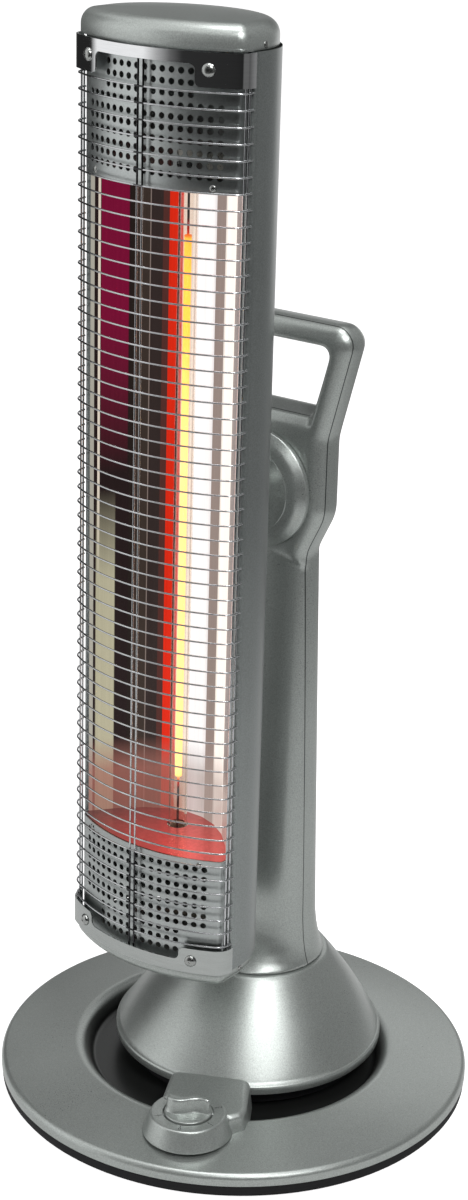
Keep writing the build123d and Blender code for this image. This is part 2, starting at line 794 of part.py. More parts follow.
def column(inset, bottom_drop):
    """The pillar's column as one lofted solid, made smaller by an inset."""
    last = len(pillar_sections) - 1
    sections = []
    for index, (height, half, front, back, squareness) in enumerate(pillar_sections):
        level = height - bottom_drop if index == 0 else height + (bottom_drop if index == last else 0)
        with BuildSketch(Plane.XY.offset(level)) as section:
            with BuildLine() as ring:
                Spline(*oval_points(half - inset, front + inset, back - inset, squareness), periodic=True)
            make_face(ring.line)
        sections.append(section.sketch)
    loft(sections, ruled=True)


shield_outline = [
    (pillar_sections[-1][1], shield_bottom),
    (shield_half, shield_full),
    (shield_half, shield_kink),
    (handle_half, handle_kink),
    (handle_half - handle_top_inset, handle_top),
]
shield_closed = shield_outline + [(-x, z) for x, z in reversed(shield_outline)]
window_outline = [
    (window_bottom_half, window_bottom),
    (window_top_half, window_top),
    (-window_top_half, window_top),
    (-window_bottom_half, window_bottom),
]

with BuildPart() as pillar_outer:
    with BuildSketch(Plane.XZ.offset(-shield_front)):
        with BuildLine() as shield_line:
            Polyline(*shield_closed, close=True)
        make_face(shield_line.line)
    extrude(amount=shield_front - shield_back)
    chamfer(pillar_outer.faces().sort_by(Axis.Y)[0].edges(), shield_bevel_front)
    chamfer(pillar_outer.faces().sort_by(Axis.Y)[-1].edges(), shield_bevel_back)
    with BuildSketch(Plane.XZ):
        with BuildLine() as window_line:
            Polyline(*window_outline, close=True)
        make_face(window_line.line)
    extrude(amount=-2 * shield_back, mode=Mode.SUBTRACT)
    column(0, 0)

shield_inside = [
    (pillar_sections[-1][1] - pillar_wall, shield_bottom),
    (shield_half - 2 * pillar_wall, shield_full),
    (shield_half - 2 * pillar_wall, window_bottom - 2 * pillar_wall),
]

with BuildPart() as pillar_inner:
    column(pillar_wall, pillar_wall)
    with BuildSketch(Plane.XZ.offset(-shield_front - pillar_wall)):
        with BuildLine() as inside_line:
            Polyline(*(shield_inside + [(-x, z) for x, z in reversed(shield_inside)]), close=True)
        make_face(inside_line.line)
    extrude(amount=shield_front - shield_back + 2 * pillar_wall)

boss_spans = []                                # x, z and the two ends along Y of each screw boss
for height in boss_heights:
    for (low, *below), (high, *above) in zip(pillar_sections, pillar_sections[1:]):
        if low <= height <= high:
            share = (height - low) / (high - low)
            half, front, back, squareness = [p + (q - p) * share for p, q in zip(below, above)]
            bulge = (1 - (boss_half / half) ** squareness) ** (1 / squareness)
            middle, reach = (front + back) / 2, (back - front) / 2 * bulge - pillar_wall / 2
            boss_spans += [(side * boss_half, height, middle - reach, middle + reach) for side in (-1, 1)]
boss_spans += [(side * shield_boss_half, shield_boss_height, shield_front + pillar_wall / 2,
                shield_back - pillar_wall / 2) for side in (-1, 1)]

with BuildPart() as pillar_shell:
    add(pillar_outer.part)
    add(pillar_inner.part, mode=Mode.SUBTRACT)
    for x, z, front, back in boss_spans:
        with BuildSketch(Plane.XZ.offset(-front)):
            with Locations((x, z)):
                Circle(boss_radius)
                Circle(screw_radius + thread_gap, mode=Mode.SUBTRACT)
        extrude(amount=front - back)
    with BuildSketch(Plane.XZ.offset(-seam_y)):
        with Locations((0, hub_height)):
            Circle(shaft_radius + running_gap)
    extrude(amount=seam_y, mode=Mode.SUBTRACT)

with BuildPart() as pillar_front_shell:
    add(pillar_shell.part)
    with BuildSketch(Plane.XZ.offset(-seam_y + seam_gap / 2)):
        Rectangle(4 * handle_half, 2 * handle_top, align=(Align.CENTER, Align.MIN))
    extrude(amount=2 * handle_half, mode=Mode.INTERSECT)
save(pillar_front_shell, "pillar_front_shell")

with BuildPart() as pillar_rear_shell:
    add(pillar_shell.part)
    with BuildSketch(Plane.XZ.offset(-seam_y - seam_gap / 2)):
        Rectangle(4 * handle_half, 2 * handle_top, align=(Align.CENTER, Align.MIN))
    extrude(amount=-2 * handle_half, mode=Mode.INTERSECT)
save(pillar_rear_shell, "pillar_rear_shell")

with BuildPart() as pillar_screws:
    for x, z, front, back in boss_spans:
        with BuildSketch(Plane.XZ.offset(-front - pillar_wall)):
            with Locations((x, z)):
                Circle(screw_radius)
        extrude(amount=front - back + 1.5 * pillar_wall + running_gap)
save(pillar_screws, "pillar_screws")

socket_front = shield_front + pillar_wall + laid_gap

with BuildPart() as swivel_socket:
    with BuildSketch(Plane.XY.offset(socket_bottom)):
        with Locations((0, (socket_front + socket_back) / 2)):
            RectangleRounded(2 * socket_half, socket_back - socket_front, 2.0)
    extrude(amount=socket_top - socket_bottom)
    with Locations(Plane((0, socket_back, hub_height), z_dir=(0, 1, 0))):
        Hole(shaft_radius + fit_gap)
save(swivel_socket, "swivel_socket")

# ---------------------------------------------------------------- heater head


def head_face(grow):
    """The head's outline seen from above, grown by an amount."""
    with BuildLine() as outline:
        corner_x, corner_y = corner_centre_x, corner_centre_y
        radius = head_corner + grow
        reach = (head_front_radius + grow) / (head_front_radius - head_corner)
        touch = (corner_x * reach, corner_y * reach)
        middle = (corner_x + radius * sin(radians(59.5)), corner_y - radius * cos(radians(59.5)))
        side = head_half + grow
        RadiusArc((-touch[0], touch[1]), touch, -(head_front_radius + grow))
        ThreePointArc(touch, middle, (side, corner_y))
        Line((side, corner_y), (side, head_back_centre))
        Line((-side, head_back_centre), (-side, corner_y))
        ThreePointArc((-side, corner_y), (-middle[0], middle[1]), (-touch[0], touch[1]))
        EllipticalCenterArc((0, head_back_centre), side, head_back_depth + grow, start_angle=0, arc_size=180)
    make_face(outline.line)


def front_strip(outer, inner, bottom, height, back):
    """An upright strip that follows the front of the head as far back as a given y."""
    with BuildSketch(Plane.XY.offset(bottom)) as strip:
        head_face(outer)
        with BuildSketch(Plane.XY.offset(bottom), mode=Mode.SUBTRACT):
            head_face(inner)
        with Locations((0, back)):
            Rectangle(4 * head_half, 4 * head_half, align=(Align.CENTER, Align.MIN), mode=Mode.SUBTRACT)
    extrude(strip.sketch, amount=height)


with BuildPart() as rear_housing:
    with BuildSketch(Plane.XY.offset(head_bottom)):
        head_face(0)
        with Locations((0, head_flange_y)):
            Rectangle(4 * head_half, 4 * head_half, align=(Align.CENTER, Align.MAX), mode=Mode.SUBTRACT)
    extrude(amount=head_top - head_bottom)
    with BuildSketch(Plane.XY.offset(head_bottom)):
        head_face(-casing_wall)
        with Locations((0, head_flange_y + casing_wall)):
            Rectangle(4 * head_half, 4 * head_half, align=(Align.CENTER, Align.MAX), mode=Mode.SUBTRACT)
    extrude(amount=head_top - head_bottom, mode=Mode.SUBTRACT)
    with BuildSketch(Plane.XY.offset(head_bottom)):
        with Locations((0, head_flange_y)):
            Rectangle(2 * (head_half - flange_width), 4 * casing_wall)
    extrude(amount=head_top - head_bottom, mode=Mode.SUBTRACT)
    with BuildSketch(Plane.XZ):
        with Locations((0, hub_height)):
            Circle(shaft_radius + thread_gap)
    extrude(amount=-head_back_centre, mode=Mode.SUBTRACT)
save(rear_housing, "rear_housing")

with BuildPart() as head_filled:
    with BuildSketch(Plane.XY.offset(hub_height - 2 * neck_radius)):
        head_face(0)
    extrude(amount=4 * neck_radius)


def cap(level, height, edge_round):
    """A hollow cap that closes one end of the head; its height is negative at the bottom."""
    up = 1 if height > 0 else -1
    with BuildPart() as whole:
        with BuildSketch(Plane.XY.offset(level)):
            head_face(-cap_inset)
        extrude(amount=height)
        fillet(whole.faces().sort_by(Axis.Z)[-1 if up > 0 else 0].edges(), edge_round)
        with BuildSketch(Plane.XY.offset(level)):
            head_face(-cap_inset - cap_wall)
        extrude(amount=height - up * 2 * cap_wall, mode=Mode.SUBTRACT)
        for side in (-1, 1):
            with Locations(Plane((side * head_half, head_back_centre, level + up * cap_screw_height),
                                 z_dir=(side, 0, 0))):
                Hole(screw_radius + thread_gap, depth=4 * cap_wall)
    return whole


top_cap = cap(head_top, cap_height, cap_round)
save(top_cap, "top_cap")

bottom_cap = cap(head_bottom, -bottom_cap_height, bottom_cap_round)
save(bottom_cap, "bottom_cap")


def band(bottom, height, notch_bottom, notch_height):
    """A polished band over one end of the grille, with a wide notch for the perforated plate."""
    with BuildPart() as strip:
        front_strip(band_wall, 0, bottom, height, head_flange_y - laid_gap)
        with BuildSketch(Plane.XZ.offset(-corner_centre_y / 2)):
            with Locations((0, notch_bottom)):
                Rectangle(2 * band_notch_half, notch_height, align=(Align.CENTER, Align.MIN))
        extrude(amount=head_front_radius, mode=Mode.SUBTRACT)
        for side in (-1, 1):
            turn = side * degrees(asin(band_screw_x / head_front_radius))
            with Locations(Plane((*turned(turn, head_front_radius + band_wall), bottom + height / 2),
                                 z_dir=(*turned(turn, 1), 0))):
                Hole(screw_radius + thread_gap, depth=4 * band_wall)
    return strip


upper_band = band(head_top - band_height, band_height, head_top - band_height, band_notch_height)
save(upper_band, "upper_band")

lower_band = band(head_bottom, lower_band_height, head_bottom + lower_band_height - lower_band_notch_height,
                  lower_band_notch_height)
save(lower_band, "lower_band")


def perforated_plate(bottom, height, first_row, row_step):
    """A perforated sheet behind one end of the grille; the rows start at its outer end."""
    with BuildPart() as sheet:
        front_strip(-perforated_inset, -perforated_inset - perforated_wall, bottom,
                    height - laid_gap, reflector_front_y - 1)
        with BuildSketch(Plane.XZ.offset(-corner_centre_y / 2)):
            for row in range(hole_rows):
                columns = hole_notch_columns if row < hole_notch_rows else hole_columns
                with Locations((0, first_row + row * row_step)):
                    with GridLocations(hole_pitch_x, 1, columns, 1):
                        Circle(hole_radius)
        extrude(amount=head_front_radius, mode=Mode.SUBTRACT)
    return sheet


upper_perforated_plate = perforated_plate(shelf_upper, perforated_height, head_top - hole_margin, -hole_pitch_z)
save(upper_perforated_plate, "upper_perforated_plate")

lower_perforated_plate = perforated_plate(head_bottom + laid_gap, lower_perforated_height,
                                          head_bottom + hole_margin, hole_pitch_z)
save(lower_perforated_plate, "lower_perforated_plate")


def reflector_points(inset):
    """Corners of the faceted reflector, on a parabola, moved forward by an inset."""
    points = []
    for step in range(reflector_facets + 1):
        share = 2 * step / reflector_facets - 1
        y = reflector_back_y + (reflector_front_y - reflector_back_y) * share * share
        points.append((share * (reflector_half - inset), y - inset))
    return points


with BuildPart() as reflector:
    with BuildSketch(Plane.XY.offset(shelf_lower)):
        with BuildLine() as reflector_line:
            Polyline(*reflector_points(0))
            Polyline(*reflector_points(reflector_wall))
            Line(reflector_points(0)[0], reflector_points(reflector_wall)[0])
            Line(reflector_points(0)[-1], reflector_points(reflector_wall)[-1])
        make_face(reflector_line.line)
    extrude(amount=shelf_upper - shelf_lower)
save(reflector, "reflector")


def shelf(bottom):
    """A flat plate that closes one end of the reflector's chamber, with a hole for the tube."""
    with BuildPart() as plate:
        with BuildSketch(Plane.XY.offset(bottom)):
            head_face(-perforated_inset - perforated_wall - laid_gap)
            with BuildSketch(mode=Mode.INTERSECT):
                with BuildLine() as shelf_line:
                    Polyline(
                        *reflector_points(0),
                        (reflector_half, -2 * head_front_radius),
                        (-reflector_half, -2 * head_front_radius),
                        close=True,
                    )
                make_face(shelf_line.line)
            with Locations((0, tube_y)):
                Circle(tube_radius + 2 * running_gap, mode=Mode.SUBTRACT)
        extrude(amount=shelf_wall)
    return plate


upper_shelf = shelf(shelf_upper)
save(upper_shelf, "upper_shelf")

lower_shelf = shelf(shelf_lower - shelf_wall)
save(lower_shelf, "lower_shelf")

wire_inset = wire_radius
wire_heights = [wire_middle + (step - (wire_count - 1) / 2) * wire_pitch for step in range(wire_count)]
wire_low, wire_high = head_bottom + 2, head_top - 2

with BuildPart() as one_wire:
    with BuildLine() as wire_path:
        side = head_half - wire_inset
        radius = head_corner - wire_inset
        reach = (head_front_radius - wire_inset) / (head_front_radius - head_corner)
        touch = (corner_centre_x * reach, corner_centre_y * reach)
        middle = (corner_centre_x + radius * sin(radians(59.5)), corner_centre_y - radius * cos(radians(59.5)))
        Line((-side, head_flange_y - 0.2), (-side, corner_centre_y))
        ThreePointArc((-side, corner_centre_y), (-middle[0], middle[1]), (-touch[0], touch[1]))
        RadiusArc((-touch[0], touch[1]), touch, -(head_front_radius - wire_inset))
        ThreePointArc(touch, middle, (side, corner_centre_y))
        Line((side, corner_centre_y), (side, head_flange_y - 0.2))
    with BuildSketch(Plane((-side, head_flange_y - 0.2, 0), z_dir=(0, -1, 0))):
        Circle(wire_radius)
    sweep(path=wire_path.line)

wire_behind = 2 * wire_radius - 0.2           # the upright wires are welded on behind
pair_y = -sqrt((head_front_radius - wire_inset - wire_behind) ** 2 - wire_pair_half ** 2)
side_wire_x = head_half - wire_inset - wire_behind
upright_places = [(side * wire_pair_half, pair_y) for side in (-1, 1)]
for turn in (0.0, wire_twin_turn):
    reach = side_wire_x - corner_centre_x
    upright_places += [(side * (corner_centre_x + reach * cos(radians(turn))),
                        corner_centre_y - reach * sin(radians(turn))) for side in (-1, 1)]

with BuildPart() as wire_grille:
    with Locations(*[(0, 0, height) for height in wire_heights]):
        add(one_wire.part)
    with BuildSketch(Plane.XY.offset(wire_low)):
        with Locations(*upright_places):
            Circle(wire_radius)
    extrude(amount=wire_high - wire_low)
save(wire_grille, "wire_grille")

tube_low = shelf_lower - shelf_wall - tube_reach
tube_high = shelf_upper + shelf_wall + tube_reach

with BuildPart() as quartz_tube:
    with BuildSketch(Plane.XY.offset(tube_low)):
        with Locations((0, tube_y)):
            Circle(tube_radius)
            Circle(tube_radius - tube_wall, mode=Mode.SUBTRACT)
    extrude(amount=tube_high - tube_low)
save(quartz_tube, "quartz_tube")

with BuildPart() as carbon_filament:
    with BuildSketch(Plane.XY.offset(shelf_lower + filament_margin)):
        with Locations((0, tube_y)):
            Circle(filament_radius)
    extrude(amount=shelf_upper - shelf_lower - 2 * filament_margin)
    with BuildSketch(Plane.XY.offset(tube_low)):
        with Locations((0, tube_y)):
            Circle(filament_radius / 3)
    extrude(amount=tube_high - tube_low)
save(carbon_filament, "carbon_filament")

with BuildPart() as tube_holders:
    for bottom in (tube_low - 2, tube_high + 2 - holder_height):
        with BuildSketch(Plane.XY.offset(bottom)):
            with Locations((0, tube_y)):
                Circle(holder_radius)
        extrude(amount=holder_height)
    for bottom in (tube_low, tube_high + 2 - holder_height):
        with BuildSketch(Plane.XY.offset(bottom)):
            with Locations((0, tube_y)):
                Circle(tube_radius + thread_gap)
        extrude(amount=holder_height - 2, mode=Mode.SUBTRACT)
save(tube_holders, "tube_holders")

clip_back = head_back_centre + head_back_depth - casing_wall - 0.4

with BuildPart() as holder_clips:
    for bottom in (tube_low + 2, tube_high - 2 - clip_width):
        with BuildSketch(Plane.XY.offset(bottom)):
            with Locations((0, tube_y)):
                Circle(holder_radius + thread_gap + clip_wall)
            with Locations((0, tube_y)):
                Rectangle(clip_width, clip_back - tube_y, align=(Align.CENTER, Align.MIN))
            with Locations((0, tube_y)):
                Circle(holder_radius + thread_gap, mode=Mode.SUBTRACT)
        extrude(amount=clip_width)
save(holder_clips, "holder_clips")

with BuildPart() as hub_bracket:
    with BuildSketch(Plane.XY.offset(hub_height - 1.5 * bracket_half)):
        with Locations((0, bracket_back)):
            Rectangle(2 * bracket_half, bracket_wall, align=(Align.CENTER, Align.MAX))
    extrude(amount=3 * bracket_half)
    with BuildSketch(Plane.XZ.offset(-bracket_back)):
        with Locations((0, hub_height)):
            Circle(neck_radius)
    extrude(amount=head_back_centre + head_back_depth - casing_wall - laid_gap - bracket_back, dir=(0, 1, 0))
    with BuildSketch(Plane.XY.offset(hub_height - 2 * bracket_half)):
        head_face(-casing_wall - laid_gap)
    extrude(amount=4 * bracket_half, mode=Mode.INTERSECT)
    with BuildSketch(Plane.XZ):
        with Locations((0, hub_height)):
            Circle(shaft_radius + thread_gap)
    extrude(amount=-head_back_centre, mode=Mode.SUBTRACT)
save(hub_bracket, "hub_bracket")

with BuildPart() as hub_neck:
    with BuildSketch(Plane.YZ):
        with BuildLine() as neck_line:
            Polyline(
                (head_back_centre + head_back_depth - 8, hub_height + shaft_radius + thread_gap),
                (head_back_centre + head_back_depth - 8, hub_height + neck_radius),
                (head_back_centre + head_back_depth + 8, hub_height + neck_radius - 1),
                (hub_disc_face - 8, hub_height + neck_end_radius),
                (hub_disc_face, hub_height + neck_end_radius),
                (hub_disc_face, hub_height + shaft_radius + thread_gap),
                close=True,
            )
        make_face(neck_line.line)
    revolve(axis=Axis((0, 0, hub_height), (0, 1, 0)))
    add(head_filled.part, mode=Mode.SUBTRACT)
save(hub_neck, "hub_neck")

with BuildPart() as hub_disc:
    with BuildSketch(Plane.YZ):
        with BuildLine() as disc_line:
            bore = hub_height + shaft_radius + thread_gap
            rim = hub_height + hub_disc_radius
            ridge = hub_height + 0.66 * hub_disc_radius
            Polyline(
                (hub_disc_back, bore), (hub_disc_face, bore),
                (hub_disc_face, hub_height + neck_end_radius + 1),
                (hub_disc_face + 0.8, ridge), (hub_disc_face + 1.4, ridge + 0.6),
            )
            ThreePointArc((hub_disc_face + 1.4, ridge + 0.6), (hub_disc_face + 3.6, rim - 4.2),
                          (hub_disc_back - 2.2, rim))
            Polyline((hub_disc_back - 2.2, rim), (hub_disc_back, rim), (hub_disc_back, bore))
        make_face(disc_line.line)
    revolve(axis=Axis((0, 0, hub_height), (0, 1, 0)))
save(hub_disc, "hub_disc")

shaft_head_front = bracket_back - bracket_wall - shaft_head_height
nut_front = socket_back + running_gap + spring_washer_height

with BuildPart() as swivel_shaft:
    with BuildSketch(Plane.XZ.offset(-shaft_head_front)):
        with Locations((0, hub_height)):
            Circle(shaft_head_radius)
    extrude(amount=-shaft_head_height)
    with BuildSketch(Plane.XZ.offset(-shaft_head_front)):
        with Locations((0, hub_height)):
            Circle(shaft_radius)
    extrude(amount=shaft_head_front - nut_front - swivel_nut_height - 0.2)
save(swivel_shaft, "swivel_shaft")

with BuildPart() as spring_washer:
    with BuildSketch(Plane.XZ.offset(-socket_back - running_gap / 2)):
        with Locations((0, hub_height)):
            Circle(swivel_nut_radius)
            Circle(shaft_radius + thread_gap, mode=Mode.SUBTRACT)
    extrude(amount=-spring_washer_height)
save(spring_washer, "spring_washer")

with BuildPart() as swivel_nut:
    with BuildSketch(Plane.XZ.offset(-nut_front)):
        with Locations((0, hub_height)):
            RegularPolygon(swivel_nut_radius, 6)
            Circle(shaft_radius + thread_gap, mode=Mode.SUBTRACT)
    extrude(amount=-swivel_nut_height)
save(swivel_nut, "swivel_nut")

# ---------------------------------------------------------------- screws on the head

with BuildPart() as band_screws:
    for level in (head_top - band_height / 2, head_bottom + lower_band_height / 2):
        for side in (-1, 1):
            turn = side * degrees(asin(band_screw_x / head_front_radius))
            face = Plane((*turned(turn, head_front_radius + band_wall), level), z_dir=(*turned(turn, 1), 0))
            with BuildSketch(face):
                Circle(screw_head_radius)
            extrude(amount=screw_head_height)
            with BuildSketch(face):
                Circle(screw_radius)
            extrude(amount=-2 * band_wall)
    fillet(band_screws.edges().filter_by(GeomType.CIRCLE).filter_by(
        lambda edge: abs(edge.radius - screw_head_radius) < 0.01
        and hypot(edge.center().X, edge.center().Y) > head_front_radius + band_wall + 0.5), 1.2)
save(band_screws, "band_screws")

with BuildPart() as cap_screws:
    for level in (head_top + cap_screw_height, head_bottom - cap_screw_height):
        for side in (-1, 1):
            face = Plane((side * (head_half - cap_inset), head_back_centre, level), z_dir=(side, 0, 0))
            with BuildSketch(face):
                Circle(small_screw_head)
            extrude(amount=small_screw_head_height / 2)
            with BuildSketch(face):
                Circle(screw_radius)
            extrude(amount=-2 * cap_wall)
save(cap_screws, "cap_screws")

with BuildPart() as plate_screws:
    plate_radius_front = head_front_radius - perforated_inset
    for level in (shelf_upper + plate_screw_margin, shelf_lower - plate_screw_margin):
        for side in (-1, 1):
            turn = side * degrees(asin(plate_screw_x / plate_radius_front))
            face = Plane((*turned(turn, plate_radius_front + 0.02), level), z_dir=(*turned(turn, 1), 0))
            with BuildSketch(face):
                Circle(small_screw_head)
            extrude(amount=small_screw_head_height)
save(plate_screws, "plate_screws")
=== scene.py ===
"""Infrared tower heater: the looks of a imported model, as a Blender add-on that is run as a script.

Lengths are in millimetres until a mesh is made in metres. The heater head faces -Y, +Z is up, and the
origin is on the floor under the middle of the stand.
"""
import math

import bmesh
import bpy
import numpy as np
from mathutils import Matrix, Vector


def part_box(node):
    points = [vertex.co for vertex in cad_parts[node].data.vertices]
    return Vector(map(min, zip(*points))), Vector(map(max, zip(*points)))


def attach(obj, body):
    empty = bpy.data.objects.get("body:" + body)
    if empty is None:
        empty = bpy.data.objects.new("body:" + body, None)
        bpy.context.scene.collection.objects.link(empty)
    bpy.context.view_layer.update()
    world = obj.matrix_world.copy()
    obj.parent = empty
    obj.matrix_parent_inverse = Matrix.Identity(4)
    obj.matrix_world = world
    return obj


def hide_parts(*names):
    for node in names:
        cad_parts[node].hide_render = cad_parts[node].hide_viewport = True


bl_info = {
    "name": "Infrared Tower Heater",
    "version": (1, 0, 0),
    "blender": (4, 5, 0),
    "location": "View3D > Sidebar > Heater",
    "description": "Builds the visible pieces, finishes and stage of an infrared tower heater",
    "category": "Object",
}

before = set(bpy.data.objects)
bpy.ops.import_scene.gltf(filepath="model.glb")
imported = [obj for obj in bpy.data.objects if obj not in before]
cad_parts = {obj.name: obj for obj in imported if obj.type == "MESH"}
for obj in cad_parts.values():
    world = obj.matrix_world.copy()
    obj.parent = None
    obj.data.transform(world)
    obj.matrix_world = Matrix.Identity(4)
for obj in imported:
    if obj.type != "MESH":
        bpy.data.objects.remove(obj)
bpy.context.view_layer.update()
MM = 0.001

# ---------------------------------------------------------------- measures shared by several pieces

PLATE_RADIUS, PLATE_FOOT = 160.0, 9.6
LIP_RADIUS, LIP_HEIGHT = 104.0, 24.5
WELL_FLOOR, POST_HOLE = 12.0, 12.0
CONE_OFFSET = 16.0
KNOB_TURN = math.radians(22.5)
KNOB_PLACE = (119.0 * math.sin(KNOB_TURN), -119.0 * math.cos(KNOB_TURN))
DIAL_HEIGHT = 35.5
SHAFT_HOLE = 7.2

HEAD_BOTTOM, HEAD_TOP = (1000 * corner.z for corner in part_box("rear_housing"))
HEAD_HALF = 1000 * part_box("rear_housing")[1].x
FLANGE_Y = 1000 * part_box("rear_housing")[0].y
SHELF_HIGH = 1000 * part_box("upper_shelf")[0].z
SHELF_LOW = 1000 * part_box("lower_shelf")[1].z
BACK_CENTRE, BACK_DEPTH = -78.0, 50.0
HUB_HEIGHT = 420.0
GRILLE_MIDDLE = 419.85
UPPER_BAND, LOWER_BAND = 19.3, 17.0
CAP_INSET = 1.6
SHEET_INSET = 5.5
SCREW_ACROSS = 43.0

# The head's front is an arc about the tower's axis, a corner arc and a straight side.
FRONT_RADIUS, CORNER_RADIUS = 115.5, 10.0
CORNER_X = HEAD_HALF - CORNER_RADIUS
CORNER_Y = -math.sqrt((FRONT_RADIUS - CORNER_RADIUS) ** 2 - CORNER_X ** 2)
CORNER_TURN = math.asin(CORNER_X / (FRONT_RADIUS - CORNER_RADIUS))
ARC_REACH = FRONT_RADIUS * CORNER_TURN
CORNER_REACH = ARC_REACH + CORNER_RADIUS * (math.pi / 2 - CORNER_TURN)
FLANGE_REACH = CORNER_REACH + (FLANGE_Y - CORNER_Y)


# ---------------------------------------------------------------- user settings


class HeaterSizes(bpy.types.PropertyGroup):
    """Sizes that can change without moving a joint."""

    wire_radius: bpy.props.FloatProperty(
        name="Wire radius", description="Radius of the grille's level wires",
        default=0.00058, min=0.0004, max=0.0012, unit="LENGTH")
    upright_radius: bpy.props.FloatProperty(
        name="Upright radius", description="Radius of the grille's upright wires",
        default=0.00062, min=0.0004, max=0.0012, unit="LENGTH")
    wire_count: bpy.props.IntProperty(
        name="Wires", description="Number of level wires in the grille", default=58, min=20, max=80)
    wire_pitch: bpy.props.FloatProperty(
        name="Wire pitch", description="Height from one level wire to the next",
        default=0.009314, min=0.006, max=0.014, unit="LENGTH")
    hole_radius: bpy.props.FloatProperty(
        name="Hole radius", description="Radius of the holes in the perforated sheets",
        default=0.0019, min=0.0008, max=0.0024, unit="LENGTH")
    cap_round: bpy.props.FloatProperty(
        name="Cap rounding", description="Radius of the rounded edge of the top cap",
        default=0.0095, min=0.001, max=0.012, unit="LENGTH")


class HeaterFinish(bpy.types.PropertyGroup):
    """Colours and strengths of the finishes."""

    silver: bpy.props.FloatVectorProperty(
        name="Silver paint", description="Base colour of the silver paint",
        subtype="COLOR", size=3, min=0, max=1, default=(0.36, 0.385, 0.37))
    casing: bpy.props.FloatVectorProperty(
        name="Casing paint", description="Base colour of the head's rear casing",
        subtype="COLOR", size=3, min=0, max=1, default=(0.25, 0.27, 0.265))
    sheet: bpy.props.FloatVectorProperty(
        name="Sheet steel", description="Base colour of the perforated sheets",
        subtype="COLOR", size=3, min=0, max=1, default=(0.41, 0.435, 0.43))
    black: bpy.props.FloatVectorProperty(
        name="Black plastic", description="Base colour of the black plastic",
        subtype="COLOR", size=3, min=0, max=1, default=(0.012, 0.012, 0.013))
    glow: bpy.props.FloatVectorProperty(
        name="Glow", description="Colour of the hot filament",
        subtype="COLOR", size=3, min=0, max=1, default=(1.0, 0.60, 0.20))
    glow_strength: bpy.props.FloatProperty(
        name="Glow strength", description="Brightness of the hot filament",
        default=1.7, min=0.0, max=50.0)


# ---------------------------------------------------------------- mesh tools


def grid_faces(rows, columns, wrap_rows=False, wrap_columns=False):
    """Quads that join neighbouring points of a grid, numbered row by row."""
    i, j = np.meshgrid(np.arange(rows if wrap_rows else rows - 1),
                       np.arange(columns if wrap_columns else columns - 1), indexing="ij")
    k, m = (i + 1) % rows, (j + 1) % columns
    quads = np.stack([i * columns + j, i * columns + m, k * columns + m, k * columns + j], -1)
    return quads.reshape(-1, 4)


def grid(points, wrap_rows=False, wrap_columns=False):
    """One surface from an array of points in rows and columns."""
    points = np.asarray(points, float)
    rows, columns = points.shape[:2]
    return points.reshape(-1, 3), grid_faces(rows, columns, wrap_rows, wrap_columns).tolist()


def closed_grid(points):
    """A tube of closed rows, shut at both ends by a face over its first and last row."""
    flat, faces = grid(points, wrap_columns=True)
    rows, columns = points.shape[:2]
    faces.append(list(range(columns)))
    faces.append(list(range((rows - 1) * columns, rows * columns)))
    return flat, faces


def new_object(name, surfaces, merge):
    """An object from surfaces, with points nearer than a distance merged and its faces outwards."""
    points, faces, start = [], [], 0
    for surface_points, surface_faces in surfaces:
        points.append(surface_points)
        faces += [[index + start for index in face] for face in surface_faces]
        start += len(surface_points)
    mesh = bpy.data.meshes.new(name)
    mesh.from_pydata((np.concatenate(points) * MM).tolist(), [], faces)
    work = bmesh.new()
    work.from_mesh(mesh)
    bmesh.ops.remove_doubles(work, verts=work.verts, dist=merge * MM)
    bmesh.ops.recalc_face_normals(work, faces=work.faces)
    work.to_mesh(mesh)
    work.free()
    item = bpy.data.objects.new(name, mesh)
    bpy.context.scene.collection.objects.link(item)
    return item


def finished_mesh(item):
    """The mesh that an object's modifiers or its curve give."""
    bpy.context.view_layer.update()
    return bpy.data.meshes.new_from_object(item.evaluated_get(bpy.context.evaluated_depsgraph_get()))


def dress(piece, body, nodes, material):
    """Give a piece its material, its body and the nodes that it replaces."""
    piece.data.materials.clear()
    piece.data.materials.append(finish(material))
    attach(piece, body)
    if nodes:
        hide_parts(*nodes)


def make_piece(name, surfaces, body, nodes, material, angle=40.0, wall=None, merge=0.002):
    """A smooth piece with sharp edges past an angle. A wall gives a sheet its thickness and offset."""
    piece = new_object(name, surfaces, merge)
    piece.data.shade_smooth()
    if wall:
        solid = piece.modifiers.new("Wall", "SOLIDIFY")
        solid.thickness, solid.offset = wall[0] * MM, wall[1]
        piece.data = finished_mesh(piece)
        piece.modifiers.clear()
        piece.data.shade_smooth()
    piece.data.set_sharp_from_angle(angle=math.radians(angle))
    dress(piece, body, nodes, material)


def melt(name, solids, cutters, voxel, rounds):
    """Solids joined and cut by exact booleans, then remeshed and smoothed so that their edges melt."""
    base, *others = (new_object(f"{name}_{index}" if index else name, [surface], 0.001)
                     for index, surface in enumerate(solids + cutters))
    for index, other in enumerate(others, 1):
        join = base.modifiers.new("Join", "BOOLEAN")
        join.operation = "UNION" if index < len(solids) else "DIFFERENCE"
        join.object, join.solver = other, "EXACT"
    remesh = base.modifiers.new("Remesh", "REMESH")
    remesh.mode, remesh.voxel_size = "VOXEL", voxel * MM
    smooth = base.modifiers.new("Smooth", "SMOOTH")
    smooth.factor, smooth.iterations = 0.5, rounds
    base.data = finished_mesh(base)
    base.modifiers.clear()
    base.data.shade_smooth()
    for other in others:
        bpy.data.objects.remove(other)
    return base


